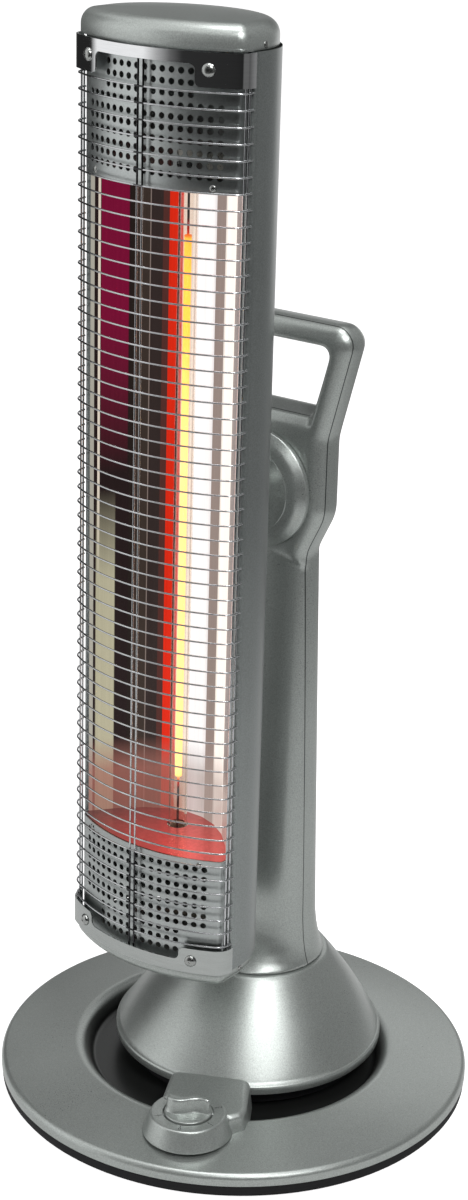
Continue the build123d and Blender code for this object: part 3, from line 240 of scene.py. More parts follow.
def rounded(points, radii, steps=6, closed=False):
    """A line of straight runs whose corners are arcs: each arc touches both runs at r / tan(half angle)."""
    points = np.asarray(points, float)
    count = len(points)
    radii = np.broadcast_to(np.asarray(radii, float), (count,))
    out = []
    for index in range(count):
        if not closed and index in (0, count - 1) or radii[index] <= 0:
            out.append(points[index][None])
            continue
        corner = points[index]
        before, after = points[index - 1] - corner, points[(index + 1) % count] - corner
        before, after = before / np.linalg.norm(before), after / np.linalg.norm(after)
        half = math.acos(np.clip(before @ after, -1, 1)) / 2
        reach = radii[index] / math.tan(half)
        inwards = (before + after) / np.linalg.norm(before + after)
        centre = corner + inwards * radii[index] / math.sin(half)
        first, last = corner + before * reach - centre, corner + after * reach - centre
        turn = math.acos(np.clip(first @ last / radii[index] ** 2, -1, 1))
        t = np.linspace(0, 1, steps + 1)[:, None]
        out.append(centre + (np.sin((1 - t) * turn) * first + np.sin(t * turn) * last) / math.sin(turn))
    return np.concatenate(out)


def full_turn(steps):
    """Angles of one turn."""
    return np.linspace(0, 2 * math.pi, steps, endpoint=False)


def raised(outline, z):
    """An outline of x and y at a height."""
    return np.column_stack([outline, np.full(len(outline), float(z))])


def lathe(profile, centre=(0.0, 0.0, 0.0), steps=96, axis="Z"):
    """A profile of radius and height turned about an upright or a front-to-back axis."""
    profile = np.asarray(profile, float)
    turn = full_turn(steps)
    radius, height = profile[:, 0][:, None], profile[:, 1][:, None] + 0 * turn
    across, other = radius * np.cos(turn), radius * np.sin(turn)
    parts = (across, other, height) if axis == "Z" else (across, height, other)
    return grid(np.stack(parts, -1) + np.asarray(centre), wrap_columns=True)


def leaning_lathe(profile, place, direction, steps=32):
    """A profile of radius and height turned about a line through a place."""
    points, faces = lathe(profile, steps=steps)
    turn = Vector((0, 0, 1)).rotation_difference(Vector(direction)).to_matrix()
    return points @ np.array(turn).T + np.asarray(place), faces


def inset_outline(points, gap):
    """A closed polygon moved inwards by a gap: each corner is where its two moved sides cross."""
    points = np.asarray(points, float)
    ahead = np.roll(points, -1, 0) - points
    ahead /= np.linalg.norm(ahead, axis=1)[:, None]
    area = np.sum(points[:, 0] * np.roll(points[:, 1], -1) - points[:, 1] * np.roll(points[:, 0], -1))
    side = np.column_stack([-ahead[:, 1], ahead[:, 0]]) * math.copysign(1, area)
    back, back_side = np.roll(ahead, 1, 0), np.roll(side, 1, 0)
    p, q = points + back_side * gap, points + side * gap
    cross = back[:, 0] * ahead[:, 1] - back[:, 1] * ahead[:, 0]
    share = ((q - p)[:, 0] * ahead[:, 1] - (q - p)[:, 1] * ahead[:, 0]) / cross
    return p + share[:, None] * back


def superellipse(half, front, back, power, count=72):
    """Closed outline |x/a|^n + |y/b|^n = 1 between a front and a back y."""
    angle = full_turn(count)
    x, y = np.cos(angle), np.sin(angle)
    scale = (np.abs(x) ** power + np.abs(y) ** power) ** (-1 / power)
    return np.column_stack([half * x * scale, (front + back) / 2 + (back - front) / 2 * y * scale])


def turned_point(turn, reach, across=0.0):
    """Point at a direction turned from -Y towards +X, moved across it."""
    return np.stack([reach * np.sin(turn) + across * np.cos(turn),
                     -reach * np.cos(turn) + across * np.sin(turn)], -1)


# ---------------------------------------------------------------- outline of the heater head


def front_point(along, grow=0.0):
    """Point on the head's front at a distance along it from its middle, grown outwards: radius times
    sine and cosine of the turn on the front arc and on the corner arc, then straight back."""
    along = np.asarray(along, float)
    size, side = np.abs(along), np.where(along < 0, -1.0, 1.0)
    turn = np.minimum(size, ARC_REACH) / FRONT_RADIUS
    bend = CORNER_TURN + np.clip(size - ARC_REACH, 0, CORNER_REACH - ARC_REACH) / CORNER_RADIUS
    on_arc, front, corner = size <= ARC_REACH, FRONT_RADIUS + grow, CORNER_RADIUS + grow
    x = np.where(on_arc, front * np.sin(turn), CORNER_X + corner * np.sin(bend))
    y = np.where(on_arc, -front * np.cos(turn), CORNER_Y - corner * np.cos(bend))
    return np.stack([side * x, y + np.maximum(size - CORNER_REACH, 0)], -1)


def front_steps(reach, arc=26, corner=7):
    """Distances from the middle to a reach on both sides, closer together round the corners."""
    half = np.concatenate([np.linspace(0, ARC_REACH, arc), np.linspace(ARC_REACH, CORNER_REACH, corner)[1:],
                           np.linspace(CORNER_REACH, reach, 4)[1:]])
    return np.concatenate([-half[:0:-1], half])


def back_half(grow=0.0, count=60):
    """The head's back: half an ellipse from its right side round to its left."""
    turn = np.linspace(0, math.pi, count)
    return np.column_stack([(HEAD_HALF + grow) * np.cos(turn),
                            BACK_CENTRE + (BACK_DEPTH + grow) * np.sin(turn)])


def head_outline(grow=0.0):
    """The head's whole outline, from the middle of its front round through its right side."""
    steps = front_steps(CORNER_REACH + (BACK_CENTRE - CORNER_Y) * 0.999)
    return np.concatenate([front_point(steps, grow), back_half(grow)[1:-1]])


def front_and_out(across, radius, grow):
    """A place on the front's arc at a distance across, grown outwards, and the direction straight out
    there. The place's turn is the arc sine of the distance across over the radius."""
    along = np.array([math.copysign(FRONT_RADIUS * math.asin(abs(across) / radius), across)])
    place = front_point(along, grow)[0]
    return place, (*(front_point(along, grow + 1)[0] - place), 0)


# ---------------------------------------------------------------- node tools for the finishes


def feed(item, inputs):
    """Give each of a node's inputs a plain value, or join it to another node's socket."""
    for key, value in dict(inputs).items():
        if isinstance(value, bpy.types.NodeSocket):
            item.id_data.links.new(value, item.inputs[key])
        else:
            item.inputs[key].default_value = value


def node(tree, kind, inputs=(), **settings):
    """The outputs of a new node."""
    item = tree.nodes.new("ShaderNode" + kind)
    for key, value in settings.items():
        setattr(item, key, value)
    feed(item, inputs)
    return item.outputs


def maths(tree, operation, *values, **settings):
    """One step of arithmetic on sockets and plain numbers."""
    return node(tree, "Math", enumerate(values), operation=operation, **settings)[0]


def fade(tree, value, first, last, low=0.0, high=1.0):
    """A value carried from one range to another, and held at its ends."""
    return node(tree, "MapRange", {"Value": value, "From Min": first, "From Max": last,
                                   "To Min": low, "To Max": high})[0]


def mix(tree, factor, first, second, blend="MIX"):
    """A mix of two colours."""
    return node(tree, "Mix", {0: factor, 6: first, 7: second}, data_type="RGBA", blend_type=blend)[2]


def position(tree):
    """The X, Y and Z of the object's own coordinates."""
    return node(tree, "SeparateXYZ", {0: node(tree, "TexCoord")["Object"]})


def level_distance(tree, x, y):
    """The distance from an upright line: the length of (X - x, Y - y, 0)."""
    place = node(tree, "TexCoord")["Object"]
    away = node(tree, "VectorMath", {0: place, 1: (x * MM, y * MM, 0.0)}, operation="SUBTRACT")[0]
    flat = node(tree, "VectorMath", {0: away, 1: (1.0, 1.0, 0.0)}, operation="MULTIPLY")[0]
    return node(tree, "VectorMath", {0: flat}, operation="LENGTH")["Value"]


def opaque(colour):
    """A colour of three parts with full alpha."""
    return (*colour, 1.0)


def ramp(tree, share, stops, low, high, interpolation="LINEAR"):
    """Colours along a share of 0 to 1, from (place, colour) stops between a low and a high place."""
    item = tree.nodes.new("ShaderNodeValToRGB")
    feed(item, {0: share})
    elements = item.color_ramp.elements
    item.color_ramp.interpolation = interpolation
    elements.remove(elements[1])
    for index, (place, colour) in enumerate(stops):
        spot = (place - low) / (high - low)
        element = elements.new(spot) if index else elements[0]
        element.position, element.color = spot, opaque(colour)
    return item.outputs[0]


def new_group(name, inputs, outputs):
    """An empty node group, the outputs of its input node, and its output node. The kind of an input
    follows from its default, and of an output from its name."""
    group = bpy.data.node_groups.new(name, "ShaderNodeTree")
    kinds = {1: "NodeSocketFloat", 3: "NodeSocketVector", 4: "NodeSocketColor"}
    for key, value in inputs.items():
        kind = kinds[np.size(value)]
        group.interface.new_socket(key, in_out="INPUT", socket_type=kind).default_value = value
    for key in outputs:
        kind = kinds[4] if key == "Colour" else kinds[1]
        group.interface.new_socket(key, in_out="OUTPUT", socket_type=kind)
    return group, group.nodes.new("NodeGroupInput").outputs, group.nodes.new("NodeGroupOutput")


def vary_paint(group, start, end, change, share, height):
    """Colour times (1 + change), and roughness plus a share of the change."""
    gain = maths(group, "ADD", change, 1.0)
    colour = node(group, "VectorMath", {0: start["Colour"], "Scale": gain}, operation="SCALE")[0]
    rough = maths(group, "MULTIPLY_ADD", change, share, start["Roughness"])
    feed(end, {"Colour": colour, "Roughness": rough, "Height": height})


def paint_grain_group():
    """Fine metallic grain: change = a very small noise times grain + a slow noise times cloud."""
    group, start, end = new_group(
        "Paint grain", {"Colour": (0.4, 0.4, 0.4, 1), "Grain Size": 1400.0, "Grain": 0.25, "Cloud": 0.06,
                        "Roughness": 0.35}, ("Colour", "Roughness", "Height"))
    place = node(group, "TexCoord")["Object"]
    grain = node(group, "TexNoise", {"Vector": place, "Scale": start["Grain Size"], "Detail": 2.0,
                                     "Roughness": 0.6})["Fac"]
    cloud = node(group, "TexNoise", {"Vector": place, "Scale": 14.0, "Detail": 3.0})["Fac"]
    small = maths(group, "MULTIPLY", fade(group, grain, 0.3, 0.7, -1.0), start["Grain"])
    change = maths(group, "MULTIPLY_ADD", fade(group, cloud, 0.3, 0.7, -1.0), start["Cloud"], small)
    vary_paint(group, start, end, change, 0.25, grain)
    return group


def brushed_group():
    """Brushed metal: change = a noise stretched along one axis times lines."""
    group, start, end = new_group(
        "Brushed lines", {"Colour": (0.5, 0.5, 0.5, 1), "Stretch": (1500.0, 1500.0, 20.0), "Lines": 0.15,
                          "Roughness": 0.3}, ("Colour", "Roughness", "Height"))
    place = node(group, "TexCoord")["Object"]
    stretched = node(group, "VectorMath", {0: place, 1: start["Stretch"]}, operation="MULTIPLY")[0]
    lines = node(group, "TexNoise", {"Vector": stretched, "Scale": 1.0, "Detail": 3.0,
                                     "Roughness": 0.7})["Fac"]
    change = maths(group, "MULTIPLY", fade(group, lines, 0.3, 0.7, -1.0), start["Lines"])
    vary_paint(group, start, end, change, 0.5, lines)
    return group


def stripe_group():
    """A mask that is 1 within a half width of a level along one axis, with a soft edge."""
    group, start, end = new_group(
        "Thin stripe", {"Along": 0.0, "Level": 0.0, "Half Width": 0.0004, "Soft": 0.0003}, ("Mask",))
    away = maths(group, "ABSOLUTE", maths(group, "SUBTRACT", start["Along"], start["Level"]))
    outer = maths(group, "ADD", start["Half Width"], start["Soft"])
    feed(end, {"Mask": fade(group, away, start["Half Width"], outer, 1.0, 0.0)})
    return group


GROUP_MAKERS = {"Paint grain": paint_grain_group, "Brushed lines": brushed_group,
                "Thin stripe": stripe_group}
GROUPS = {}


def effect(tree, name, **values):
    """The outputs of a shared group, which is built on its first use."""
    if name not in GROUPS:
        GROUPS[name] = GROUP_MAKERS[name]()
    item = tree.nodes.new("ShaderNodeGroup")
    item.node_tree = GROUPS[name]
    feed(item, {key.replace("_", " "): value for key, value in values.items()})
    return item.outputs


def stripe(tree, along, level, half, soft):
    """The mask of a stripe, with its sizes in millimetres."""
    return effect(tree, "Thin stripe", Along=along, Level=level * MM, Half_Width=half * MM, Soft=soft * MM)[0]


def new_material(name, **values):
    """A material, its nodes and its Principled BSDF, whose plain values are on its own sockets."""
    material = bpy.data.materials.new(name)
    material.use_nodes = True
    shader = material.node_tree.nodes["Principled BSDF"]
    feed(shader, {key.replace("_", " "): value for key, value in values.items()})
    return material, material.node_tree, shader


# ---------------------------------------------------------------- finishes


def settings():
    """The finish settings of the scene."""
    return bpy.context.scene.heater_finish


def painted_well_shade(tree):
    """Mask of painted shade in the well: 1 nearer to the middle of the stand than its wall, where the stand's
    paint is darkened to stand for the shade there.
    """
    pale_from, dark_from = 0.1045, 0.0985
    return fade(tree, level_distance(tree, 0, 0), pale_from, dark_from)


def joint_line(tree):
    """Mask of the line where the pillar's two halves meet."""
    return stripe(tree, position(tree)["Y"], 19.0, 0.2, 0.3)


def grained(label, colour, roughness, metallic, grain=0.25, cloud=0.05, size=1400.0, bump=0.08,
            depth=0.0002, coat=0.0, specular=0.5, zone=None, dark=(0, 0, 0, 1), groove=0.0):
    """Paint or plastic with the shared grain, and in a zone a dark colour and a groove."""
    material, tree, shader = new_material(
        label, Metallic=metallic, Coat_Weight=coat, Coat_Roughness=0.3, Specular_IOR_Level=specular)
    look = effect(tree, "Paint grain", Colour=opaque(colour), Grain_Size=size, Grain=grain, Cloud=cloud,
                  Roughness=roughness)
    paint, height = look["Colour"], look["Height"]
    if zone:
        mask = zone(tree)
        paint = mix(tree, mask, paint, dark)
        height = maths(tree, "MULTIPLY_ADD", mask, groove, height)
    normal = node(tree, "Bump", {"Strength": bump, "Distance": depth, "Height": height})[0]
    feed(shader, {"Base Color": paint, "Roughness": look["Roughness"], "Normal": normal})
    return material


def brushed(label, colour, roughness, stretch, lines, bump):
    """Bare or plated metal with the shared brushed lines."""
    material, tree, shader = new_material(label, Metallic=1.0)
    look = effect(tree, "Brushed lines", Colour=opaque(colour), Stretch=stretch, Lines=lines,
                  Roughness=roughness)
    normal = node(tree, "Bump", {"Strength": bump, "Distance": 0.0001, "Height": look["Height"]})[0]
    feed(shader, {"Base Color": look["Colour"], "Roughness": look["Roughness"], "Normal": normal})
    return material


def wire_plating():
    """Bright plating of the grille, with painted shade on its middle pair where it crosses the perforated
    sheets.
    """
    material, tree, shader = new_material("Wire plating", Metallic=1.0)
    place = position(tree)
    pair = stripe(tree, place["X"], 0.0, 3.4, 0.2)
    window = stripe(tree, place["Z"], (SHELF_HIGH + SHELF_LOW) / 2, (SHELF_HIGH - SHELF_LOW) / 2, 2.0)
    shaded = maths(tree, "SUBTRACT", pair, window, use_clamp=True)
    # painted shade: the middle pair is darkened where it lies over the sheets
    colour = mix(tree, shaded, (0.50, 0.51, 0.52, 1), (0.04, 0.04, 0.042, 1))
    look = effect(tree, "Brushed lines", Colour=colour, Stretch=(300, 300, 300), Lines=0.1, Roughness=0.16)
    feed(shader, {"Base Color": look["Colour"], "Roughness": look["Roughness"]})
    return material


REFLECTOR_HALF = 58.0
PAINTED_REFLECTION_STRIPS = (
    # painted reflections and glow: x at which each upright strip starts, then its colour
    (-58.0, (0.42, 0.40, 0.34)), (-54.6, (0.02, 0.012, 0.012)), (-53.4, (0.75, 0.66, 0.55)),
    (-52.4, (0.020, 0.012, 0.012)), (-40.6, (0.020, 0.014, 0.012)), (-38.6, (0.045, 0.032, 0.026)),
    (-32.3, (0.22, 0.17, 0.15)), (-31.9, (0.035, 0.024, 0.022)), (-26.0, (0.09, 0.03, 0.025)),
    (-22.8, (0.75, 0.025, 0.008)), (-17.6, (0.95, 0.55, 0.50)), (-16.6, (1.0, 0.92, 0.88)),
    (-8.0, (1.0, 0.97, 0.96)), (8.0, (0.34, 0.27, 0.24)), (17.0, (1.0, 0.93, 0.85)),
    (32.0, (0.05, 0.03, 0.027)), (46.0, (0.35, 0.10, 0.08)), (52.0, (0.80, 0.74, 0.66)),
)
PAINTED_REFLECTION_PATCHES = (
    # painted reflections: middle x and half width of a soft strip, the heights in metres between which it
    # fades in, its colour
    (-46.5, 5.2, 0.44, 0.54, (0.19, 0.006, 0.036, 1)),
    (-49.7, 3.5, 0.43, 0.37, (0.46, 0.43, 0.30, 1)),
)


def polished_reflector():
    """Mirror-bright aluminium, with painted reflections of the hot filament and its surroundings in upright
    strips, which also glow as painted light: crimson high on its left, cream lower down, and rosy or grey
    near the lower shelf."""
    material, tree, shader = new_material("Polished reflector", Metallic=0.8, Emission_Strength=0.85)
    place = position(tree)
    across = fade(tree, place["X"], -REFLECTOR_HALF * MM, REFLECTOR_HALF * MM)
    colour = ramp(tree, across, PAINTED_REFLECTION_STRIPS, -REFLECTOR_HALF, REFLECTOR_HALF, "CONSTANT")
    for middle, half, low, high, tint in PAINTED_REFLECTION_PATCHES:
        patch = maths(tree, "MULTIPLY", stripe(tree, place["X"], middle, half, 0.4),
                      fade(tree, place["Z"], low, high))
        colour = mix(tree, patch, colour, tint)
    # painted reflection of the lower shelf: rosy on the left and grey on the right
    near_shelf = fade(tree, place["Z"], 0.262, 0.240, 0.0, 0.72)
    left = maths(tree, "MULTIPLY", near_shelf, fade(tree, place["X"], 0.004, -0.012))
    colour = mix(tree, left, colour, (0.36, 0.15, 0.12, 1))
    colour = mix(tree, maths(tree, "SUBTRACT", near_shelf, left), colour, (0.44, 0.36, 0.32, 1))
    look = effect(tree, "Brushed lines", Colour=colour, Stretch=(900, 900, 8), Lines=0.06, Roughness=0.22)
    # the painted strips are dimmed as the base colour and shown in full as a painted glow
    dimmed = mix(tree, 0.75, look["Colour"], (0, 0, 0, 1))
    feed(shader, {"Base Color": dimmed, "Roughness": look["Roughness"], "Emission Color": look["Colour"]})
    return material


def shelf_with_painted_glow():
    """Polished shelf. Its side that faces the tube has a painted reflection of the tube's red, brightest at
    its front right, which glows as painted light; its other sides are painted dark as shade.
    """
    material, tree, shader = new_material("Shelf with painted glow", Metallic=1.0, Emission_Strength=0.6)
    # painted reflection of the tube's red, strongest near the front right
    near = fade(tree, level_distance(tree, 26.0, -100.0), 0.006, 0.078, 1.0, 0.0)
    red = mix(tree, near, (0.15, 0.07, 0.065, 1), (0.62, 0.10, 0.09, 1))
    facing = node(tree, "SeparateXYZ", {0: node(tree, "TexCoord")["Normal"]})
    below = maths(tree, "SUBTRACT", HUB_HEIGHT * MM, position(tree)["Z"])
    tube_side = maths(tree, "GREATER_THAN", maths(tree, "MULTIPLY", below, facing["Z"]), 0.0)
    # painted shade on the sides away from the tube, painted glow on the side that faces it
    colour = mix(tree, tube_side, (0.05, 0.05, 0.05, 1), red)
    look = effect(tree, "Brushed lines", Colour=colour, Stretch=(300, 300, 300), Lines=0.1, Roughness=0.22)
    glow = mix(tree, tube_side, (0, 0, 0, 1), look["Colour"])
    feed(shader, {"Base Color": look["Colour"], "Roughness": look["Roughness"], "Emission Color": glow})
    return material


def quartz_glass():
    """Clear quartz with a trace of cloud."""
    material, tree, shader = new_material("Quartz", Transmission_Weight=1.0, IOR=1.46)
    look = effect(tree, "Paint grain", Colour=(1.0, 0.93, 0.86, 1), Grain_Size=300.0, Grain=0.01,
                  Cloud=0.02, Roughness=0.03)
    feed(shader, {"Base Color": look["Colour"], "Roughness": look["Roughness"]})
    return material


def hot_filament():
    """Glowing carbon: bright along its middle, orange toward its top and dark at both ends."""
    material, tree, shader = new_material("Hot filament", Roughness=0.6,
                                          Emission_Strength=settings().glow_strength)
    glow = settings().glow
    dark = (0.006, 0.004, 0.004)
    heat = (  # height in metres, then the colour there
        (0.2, (0.004, 0.003, 0.003)), (0.2374, dark), (0.2385, (0.12, 0.0, 0.0)),
        (0.2425, (0.3, 0.015, 0.0)), (0.2470, glow), (0.46, glow), (0.54, (1.0, 0.42, 0.05)),
        (0.592, (1.0, 0.36, 0.04)), (0.5945, (0.3, 0.012, 0.0)), (0.602, (0.10, 0.0, 0.0)), (0.604, dark))
    low, high = 0.2, 0.64
    colour = ramp(tree, fade(tree, position(tree)["Z"], low, high), heat, low, high)
    place = node(tree, "TexCoord")["Object"]
    weave = node(tree, "TexNoise", {"Scale": 900.0, "Vector": place})["Color"]
    woven = mix(tree, 0.15, colour, weave, blend="MULTIPLY")
    feed(shader, {"Base Color": woven, "Emission Color": woven})
    return material


GRAINED = {
    # finish: label, colour or its setting, roughness, metallic, then what differs from the usual
    "silver": ("Silver paint", "silver", 0.33, 0.75, {"grain": 0.2, "coat": 0.25}),
    # the stand paint is darkened in the well as painted shade
    "stand": ("Stand paint", "silver", 0.33, 0.75,
              {"grain": 0.2, "coat": 0.25, "zone": painted_well_shade, "dark": (0.035, 0.037, 0.036, 1)}),
    "pillar": ("Pillar paint", "silver", 0.33, 0.75,
               {"grain": 0.2, "coat": 0.25, "zone": joint_line, "dark": (0.04, 0.042, 0.042, 1),
                "groove": -4.0, "bump": 0.1, "depth": 0.0003}),
    "casing": ("Casing paint", "casing", 0.36, 0.85, {"grain": 0.18, "coat": 0.15}),
    "sheet": ("Sheet steel", "sheet", 0.31, 1.0, {"grain": 0.08, "cloud": 0.08, "size": 900.0, "bump": 0.02}),
    "black": ("Black plastic", "black", 0.6, 0.0, {"grain": 0.3, "size": 1800.0, "bump": 0.3,
                                                   "specular": 0.12}),
    "dark": ("Dark coating", (0.06, 0.06, 0.065), 0.5, 0.3, {"grain": 0.2}),
    "iron": ("Cast iron", (0.05, 0.05, 0.052), 0.7, 0.4, {"grain": 0.5, "cloud": 0.2, "size": 500.0,
                                                          "bump": 0.6}),
    "rubber": ("Rubber", (0.018, 0.018, 0.018), 0.8, 0.0, {"grain": 0.3, "size": 900.0, "bump": 0.4}),
    "cream": ("Terminal plastic", (0.72, 0.68, 0.55), 0.45, 0.0, {"grain": 0.06, "size": 700.0}),
    "ceramic": ("Ceramic", (0.78, 0.75, 0.68), 0.25, 0.0, {"grain": 0.05, "cloud": 0.08, "size": 500.0,
                                                           "bump": 0.1}),
    "print": ("Printed mark", (0.03, 0.03, 0.032), 0.55, 0.0, {"grain": 0.1}),
}
BRUSHED = {
    # finish: label, colour, roughness, stretch of the lines along X, Y and Z, their strength, bump
    "chrome": ("Polished plating", (0.78, 0.79, 0.80), 0.06, (60, 60, 900), 0.04, 0.0),
    # the lower band's plating: the polished plating made rougher, and darker as painted shade
    "satin_with_painted_shade": ("Satin plating with painted shade", (0.40, 0.42, 0.41), 0.2, (60, 60, 900), 0.06, 0.0),
    "bare": ("Bare steel", (0.55, 0.55, 0.54), 0.3, (400, 400, 400), 0.2, 0.05),
    "screw": ("Screw plating", (0.34, 0.35, 0.34), 0.24, (500, 500, 500), 0.12, 0.05),
    "motor": ("Motor case", (0.38, 0.38, 0.37), 0.35, (50, 50, 900), 0.2, 0.05),
}
OTHER_FINISHES = {"wire": wire_plating, "reflector": polished_reflector, "shelf": shelf_with_painted_glow,
                  "quartz": quartz_glass, "filament": hot_filament}
KEPT_NODES = {
    "black": ("bottom_tray", "skirt_ring", "tip_switch", "tip_plunger", "cord_gland", "selector_switch"),
    "dark": ("turntable_plate", "pillar_tube", "swivel_socket", "hub_bracket", "pivot_post"),
    "bare": ("thrust_washer", "pivot_nut", "crank_disc", "drive_link", "swivel_shaft", "spring_washer",
             "swivel_nut", "holder_clips"),
    "screw": ("tray_screws", "bridge_screws", "cone_screws", "pillar_screws"),
    "iron": ("ballast_ring",), "rubber": ("rubber_feet",), "cream": ("terminal_block",),
    "motor": ("oscillation_motor",), "ceramic": ("tube_holders",), "quartz": ("quartz_tube",),
    "reflector": ("reflector",), "shelf": ("upper_shelf", "lower_shelf"), "filament": ("carbon_filament",),
}
MADE = {}


def finish(name):
    """A finish by name, made on its first use."""
    if name not in MADE:
        if name in GRAINED:
            label, colour, roughness, metallic, more = GRAINED[name]
            colour = getattr(settings(), colour) if isinstance(colour, str) else colour
            MADE[name] = grained(label, colour, roughness, metallic, **more)
        else:
            MADE[name] = brushed(*BRUSHED[name]) if name in BRUSHED else OTHER_FINISHES[name]()
    return MADE[name]


# ---------------------------------------------------------------- pieces of the stand


class HEATER_OT_stand_plate(bpy.types.Operator):
    """Round cover of the stand and the black edge under it: profiles turned about the middle"""

    bl_idname = "heater.stand_plate"
    bl_label = "Stand Plate"

    def execute(self, context):
        # over the rim, the slope and the lip to the well's floor, then back along the inside
        wall = 2.4
        inside = PLATE_RADIUS - wall
        outer = rounded([(PLATE_RADIUS, PLATE_FOOT), (PLATE_RADIUS, 17), (LIP_RADIUS, LIP_HEIGHT),
                         (97.5, WELL_FLOOR), (POST_HOLE, WELL_FLOOR)], [0, 4.5, 9.0, 4.0, 0], 12)
        inner = rounded([(POST_HOLE, PLATE_FOOT), (98.6, PLATE_FOOT), (105.6, 22.2), (inside, 14.3),
                         (inside, PLATE_FOOT)], [0, 2.0, 7.0, 1.5, 0], 6)
        plate = np.concatenate([outer, inner, outer[:1]])
        make_piece("stand_plate", [lathe(plate, steps=180)], "stand", ["base_plate"],
                   "stand", angle=50)
        edge = rounded([(157.9, 3.0), (159.4, 3.0), (159.4, 10.4), (157.9, 10.4)], [0, 0.7, 0, 0], 4)
        make_piece("tray_rim", [lathe(np.concatenate([edge, edge[:1]]), steps=180)], "stand", [],
                   "black", angle=50)
        return {"FINISHED"}


class HEATER_OT_control_bridge(bpy.types.Operator):
    """Knob housing and the arm that carries it over the well"""

    bl_idname = "heater.control_bridge"
    bl_label = "Control Bridge"

    def execute(self, context):
        """The housing is a lathe. The arm is its plan inset by a gap on each level, whose top slopes
        down away from the cone, pushed out to the radius that clears the cone."""
        top = DIAL_HEIGHT
        housing = rounded(
            [(14, 22), (29.6, 22.0), (28.2, 25.4), (24.4, top), (16.4, top), (16.4, 33.3), (5.4, 33.3),
             (5.4, 31), (14, 31)], [0, 0.6, 1.5, 2.0, 0.5, 0.4, 0, 0, 0], 6)
        surfaces = [lathe(np.concatenate([housing, housing[:1]]), (*KNOB_PLACE, 0), 120)]
        turn = math.radians(26)
        inner, inner_low, low_top = 80.1, 83.4, 34.4
        plan = np.array([turned_point(turn, *corner) for corner in (
            (inner, 26), (103, 28.5), (112, 27.5), (117, 20), (117, -16), (106, -28.5), (inner, -26))])
        low, soft = 20.5, 4.2
        angle = np.linspace(0, math.pi / 2, 7)
        shares = [0.0, 0.35, 0.62, 0.64] + [1.0] * 7
        drops = [0.0] * 4 + (soft - soft * np.sin(angle)).tolist()
        insets = [-1.9, -1.4, -0.9, -0.9] + (soft * (1 - np.cos(angle)) - 0.2).tolist()
        loops = []
        for share, drop, gap in zip(shares, drops, insets):
            outline = rounded(inset_outline(plan, gap), 4.5, 5, closed=True)
            slope = np.interp(outline @ turned_point(turn, 1.0), [inner, 101.0], [42.0, 34.3])
            z = low + (slope - (soft if share < 1 else 0) - low) * share - drop
            needed = np.where(z < low_top, inner_low, inner)
            outline = outline * np.maximum(needed / np.hypot(*outline.T), 1)[:, None]
            loops.append(np.column_stack([outline, z]))
        surfaces.append(closed_grid(np.stack(loops)))
        make_piece("control_bridge_cover", surfaces, "stand", ["control_bridge"], "silver",
                   angle=42)
        return {"FINISHED"}


class HEATER_OT_selector_knob(bpy.types.Operator):
    """Turning knob: a disc with a waved grip that stands on it"""

    bl_idname = "heater.selector_knob"
    bl_label = "Selector Knob"

    def execute(self, context):
        """Each level of the grip is the strip |y - a sin(pi t)| < h sqrt(1 - |t|^8) with x = length t."""
        disc = rounded([(0, 33.7), (15.5, 33.7), (15.5, 36.6), (0, 36.6)], [0, 0.3, 0.8, 0], 5)
        shaft = [(0, 24), (2.9, 24), (2.9, 33.8), (0, 33.8)]
        length, half, swing = 14.2, 2.9, 2.4
        along = np.linspace(-1, 1, 41)
        width = half * np.sqrt(np.clip(1 - np.abs(along) ** 8, 0, 1))
        wave = swing * np.sin(along * math.pi)
        rows = []
        for z, inset in ((36.2, -1.4), (37.0, -0.8), (38.2, -0.3), (44.2, 0.3), (45.2, 0.6), (45.8, 1.1),
                         (46.0, 1.8)):
            side = np.maximum(width - inset, 0.02)
            x = along * (length - inset)
            upper = np.column_stack([x, wave + side])
            lower = np.column_stack([x[::-1], (wave - side)[::-1]])
            rows.append(raised(np.concatenate([upper, lower[1:-1]]), z))
        grip = np.stack(rows)
        turn = KNOB_TURN + math.radians(4)
        c, s = math.cos(turn), math.sin(turn)
        placed = grip.copy()
        placed[..., 0] = KNOB_PLACE[0] + grip[..., 0] * c - grip[..., 1] * s
        placed[..., 1] = KNOB_PLACE[1] + grip[..., 0] * s + grip[..., 1] * c
        surfaces = [lathe(disc, (*KNOB_PLACE, 0), 96), closed_grid(placed),
                    lathe(shaft, (*KNOB_PLACE, 0), 24)]
        make_piece("knob", surfaces, "knob", ["selector_knob"], "silver", angle=45)
        return {"FINISHED"}


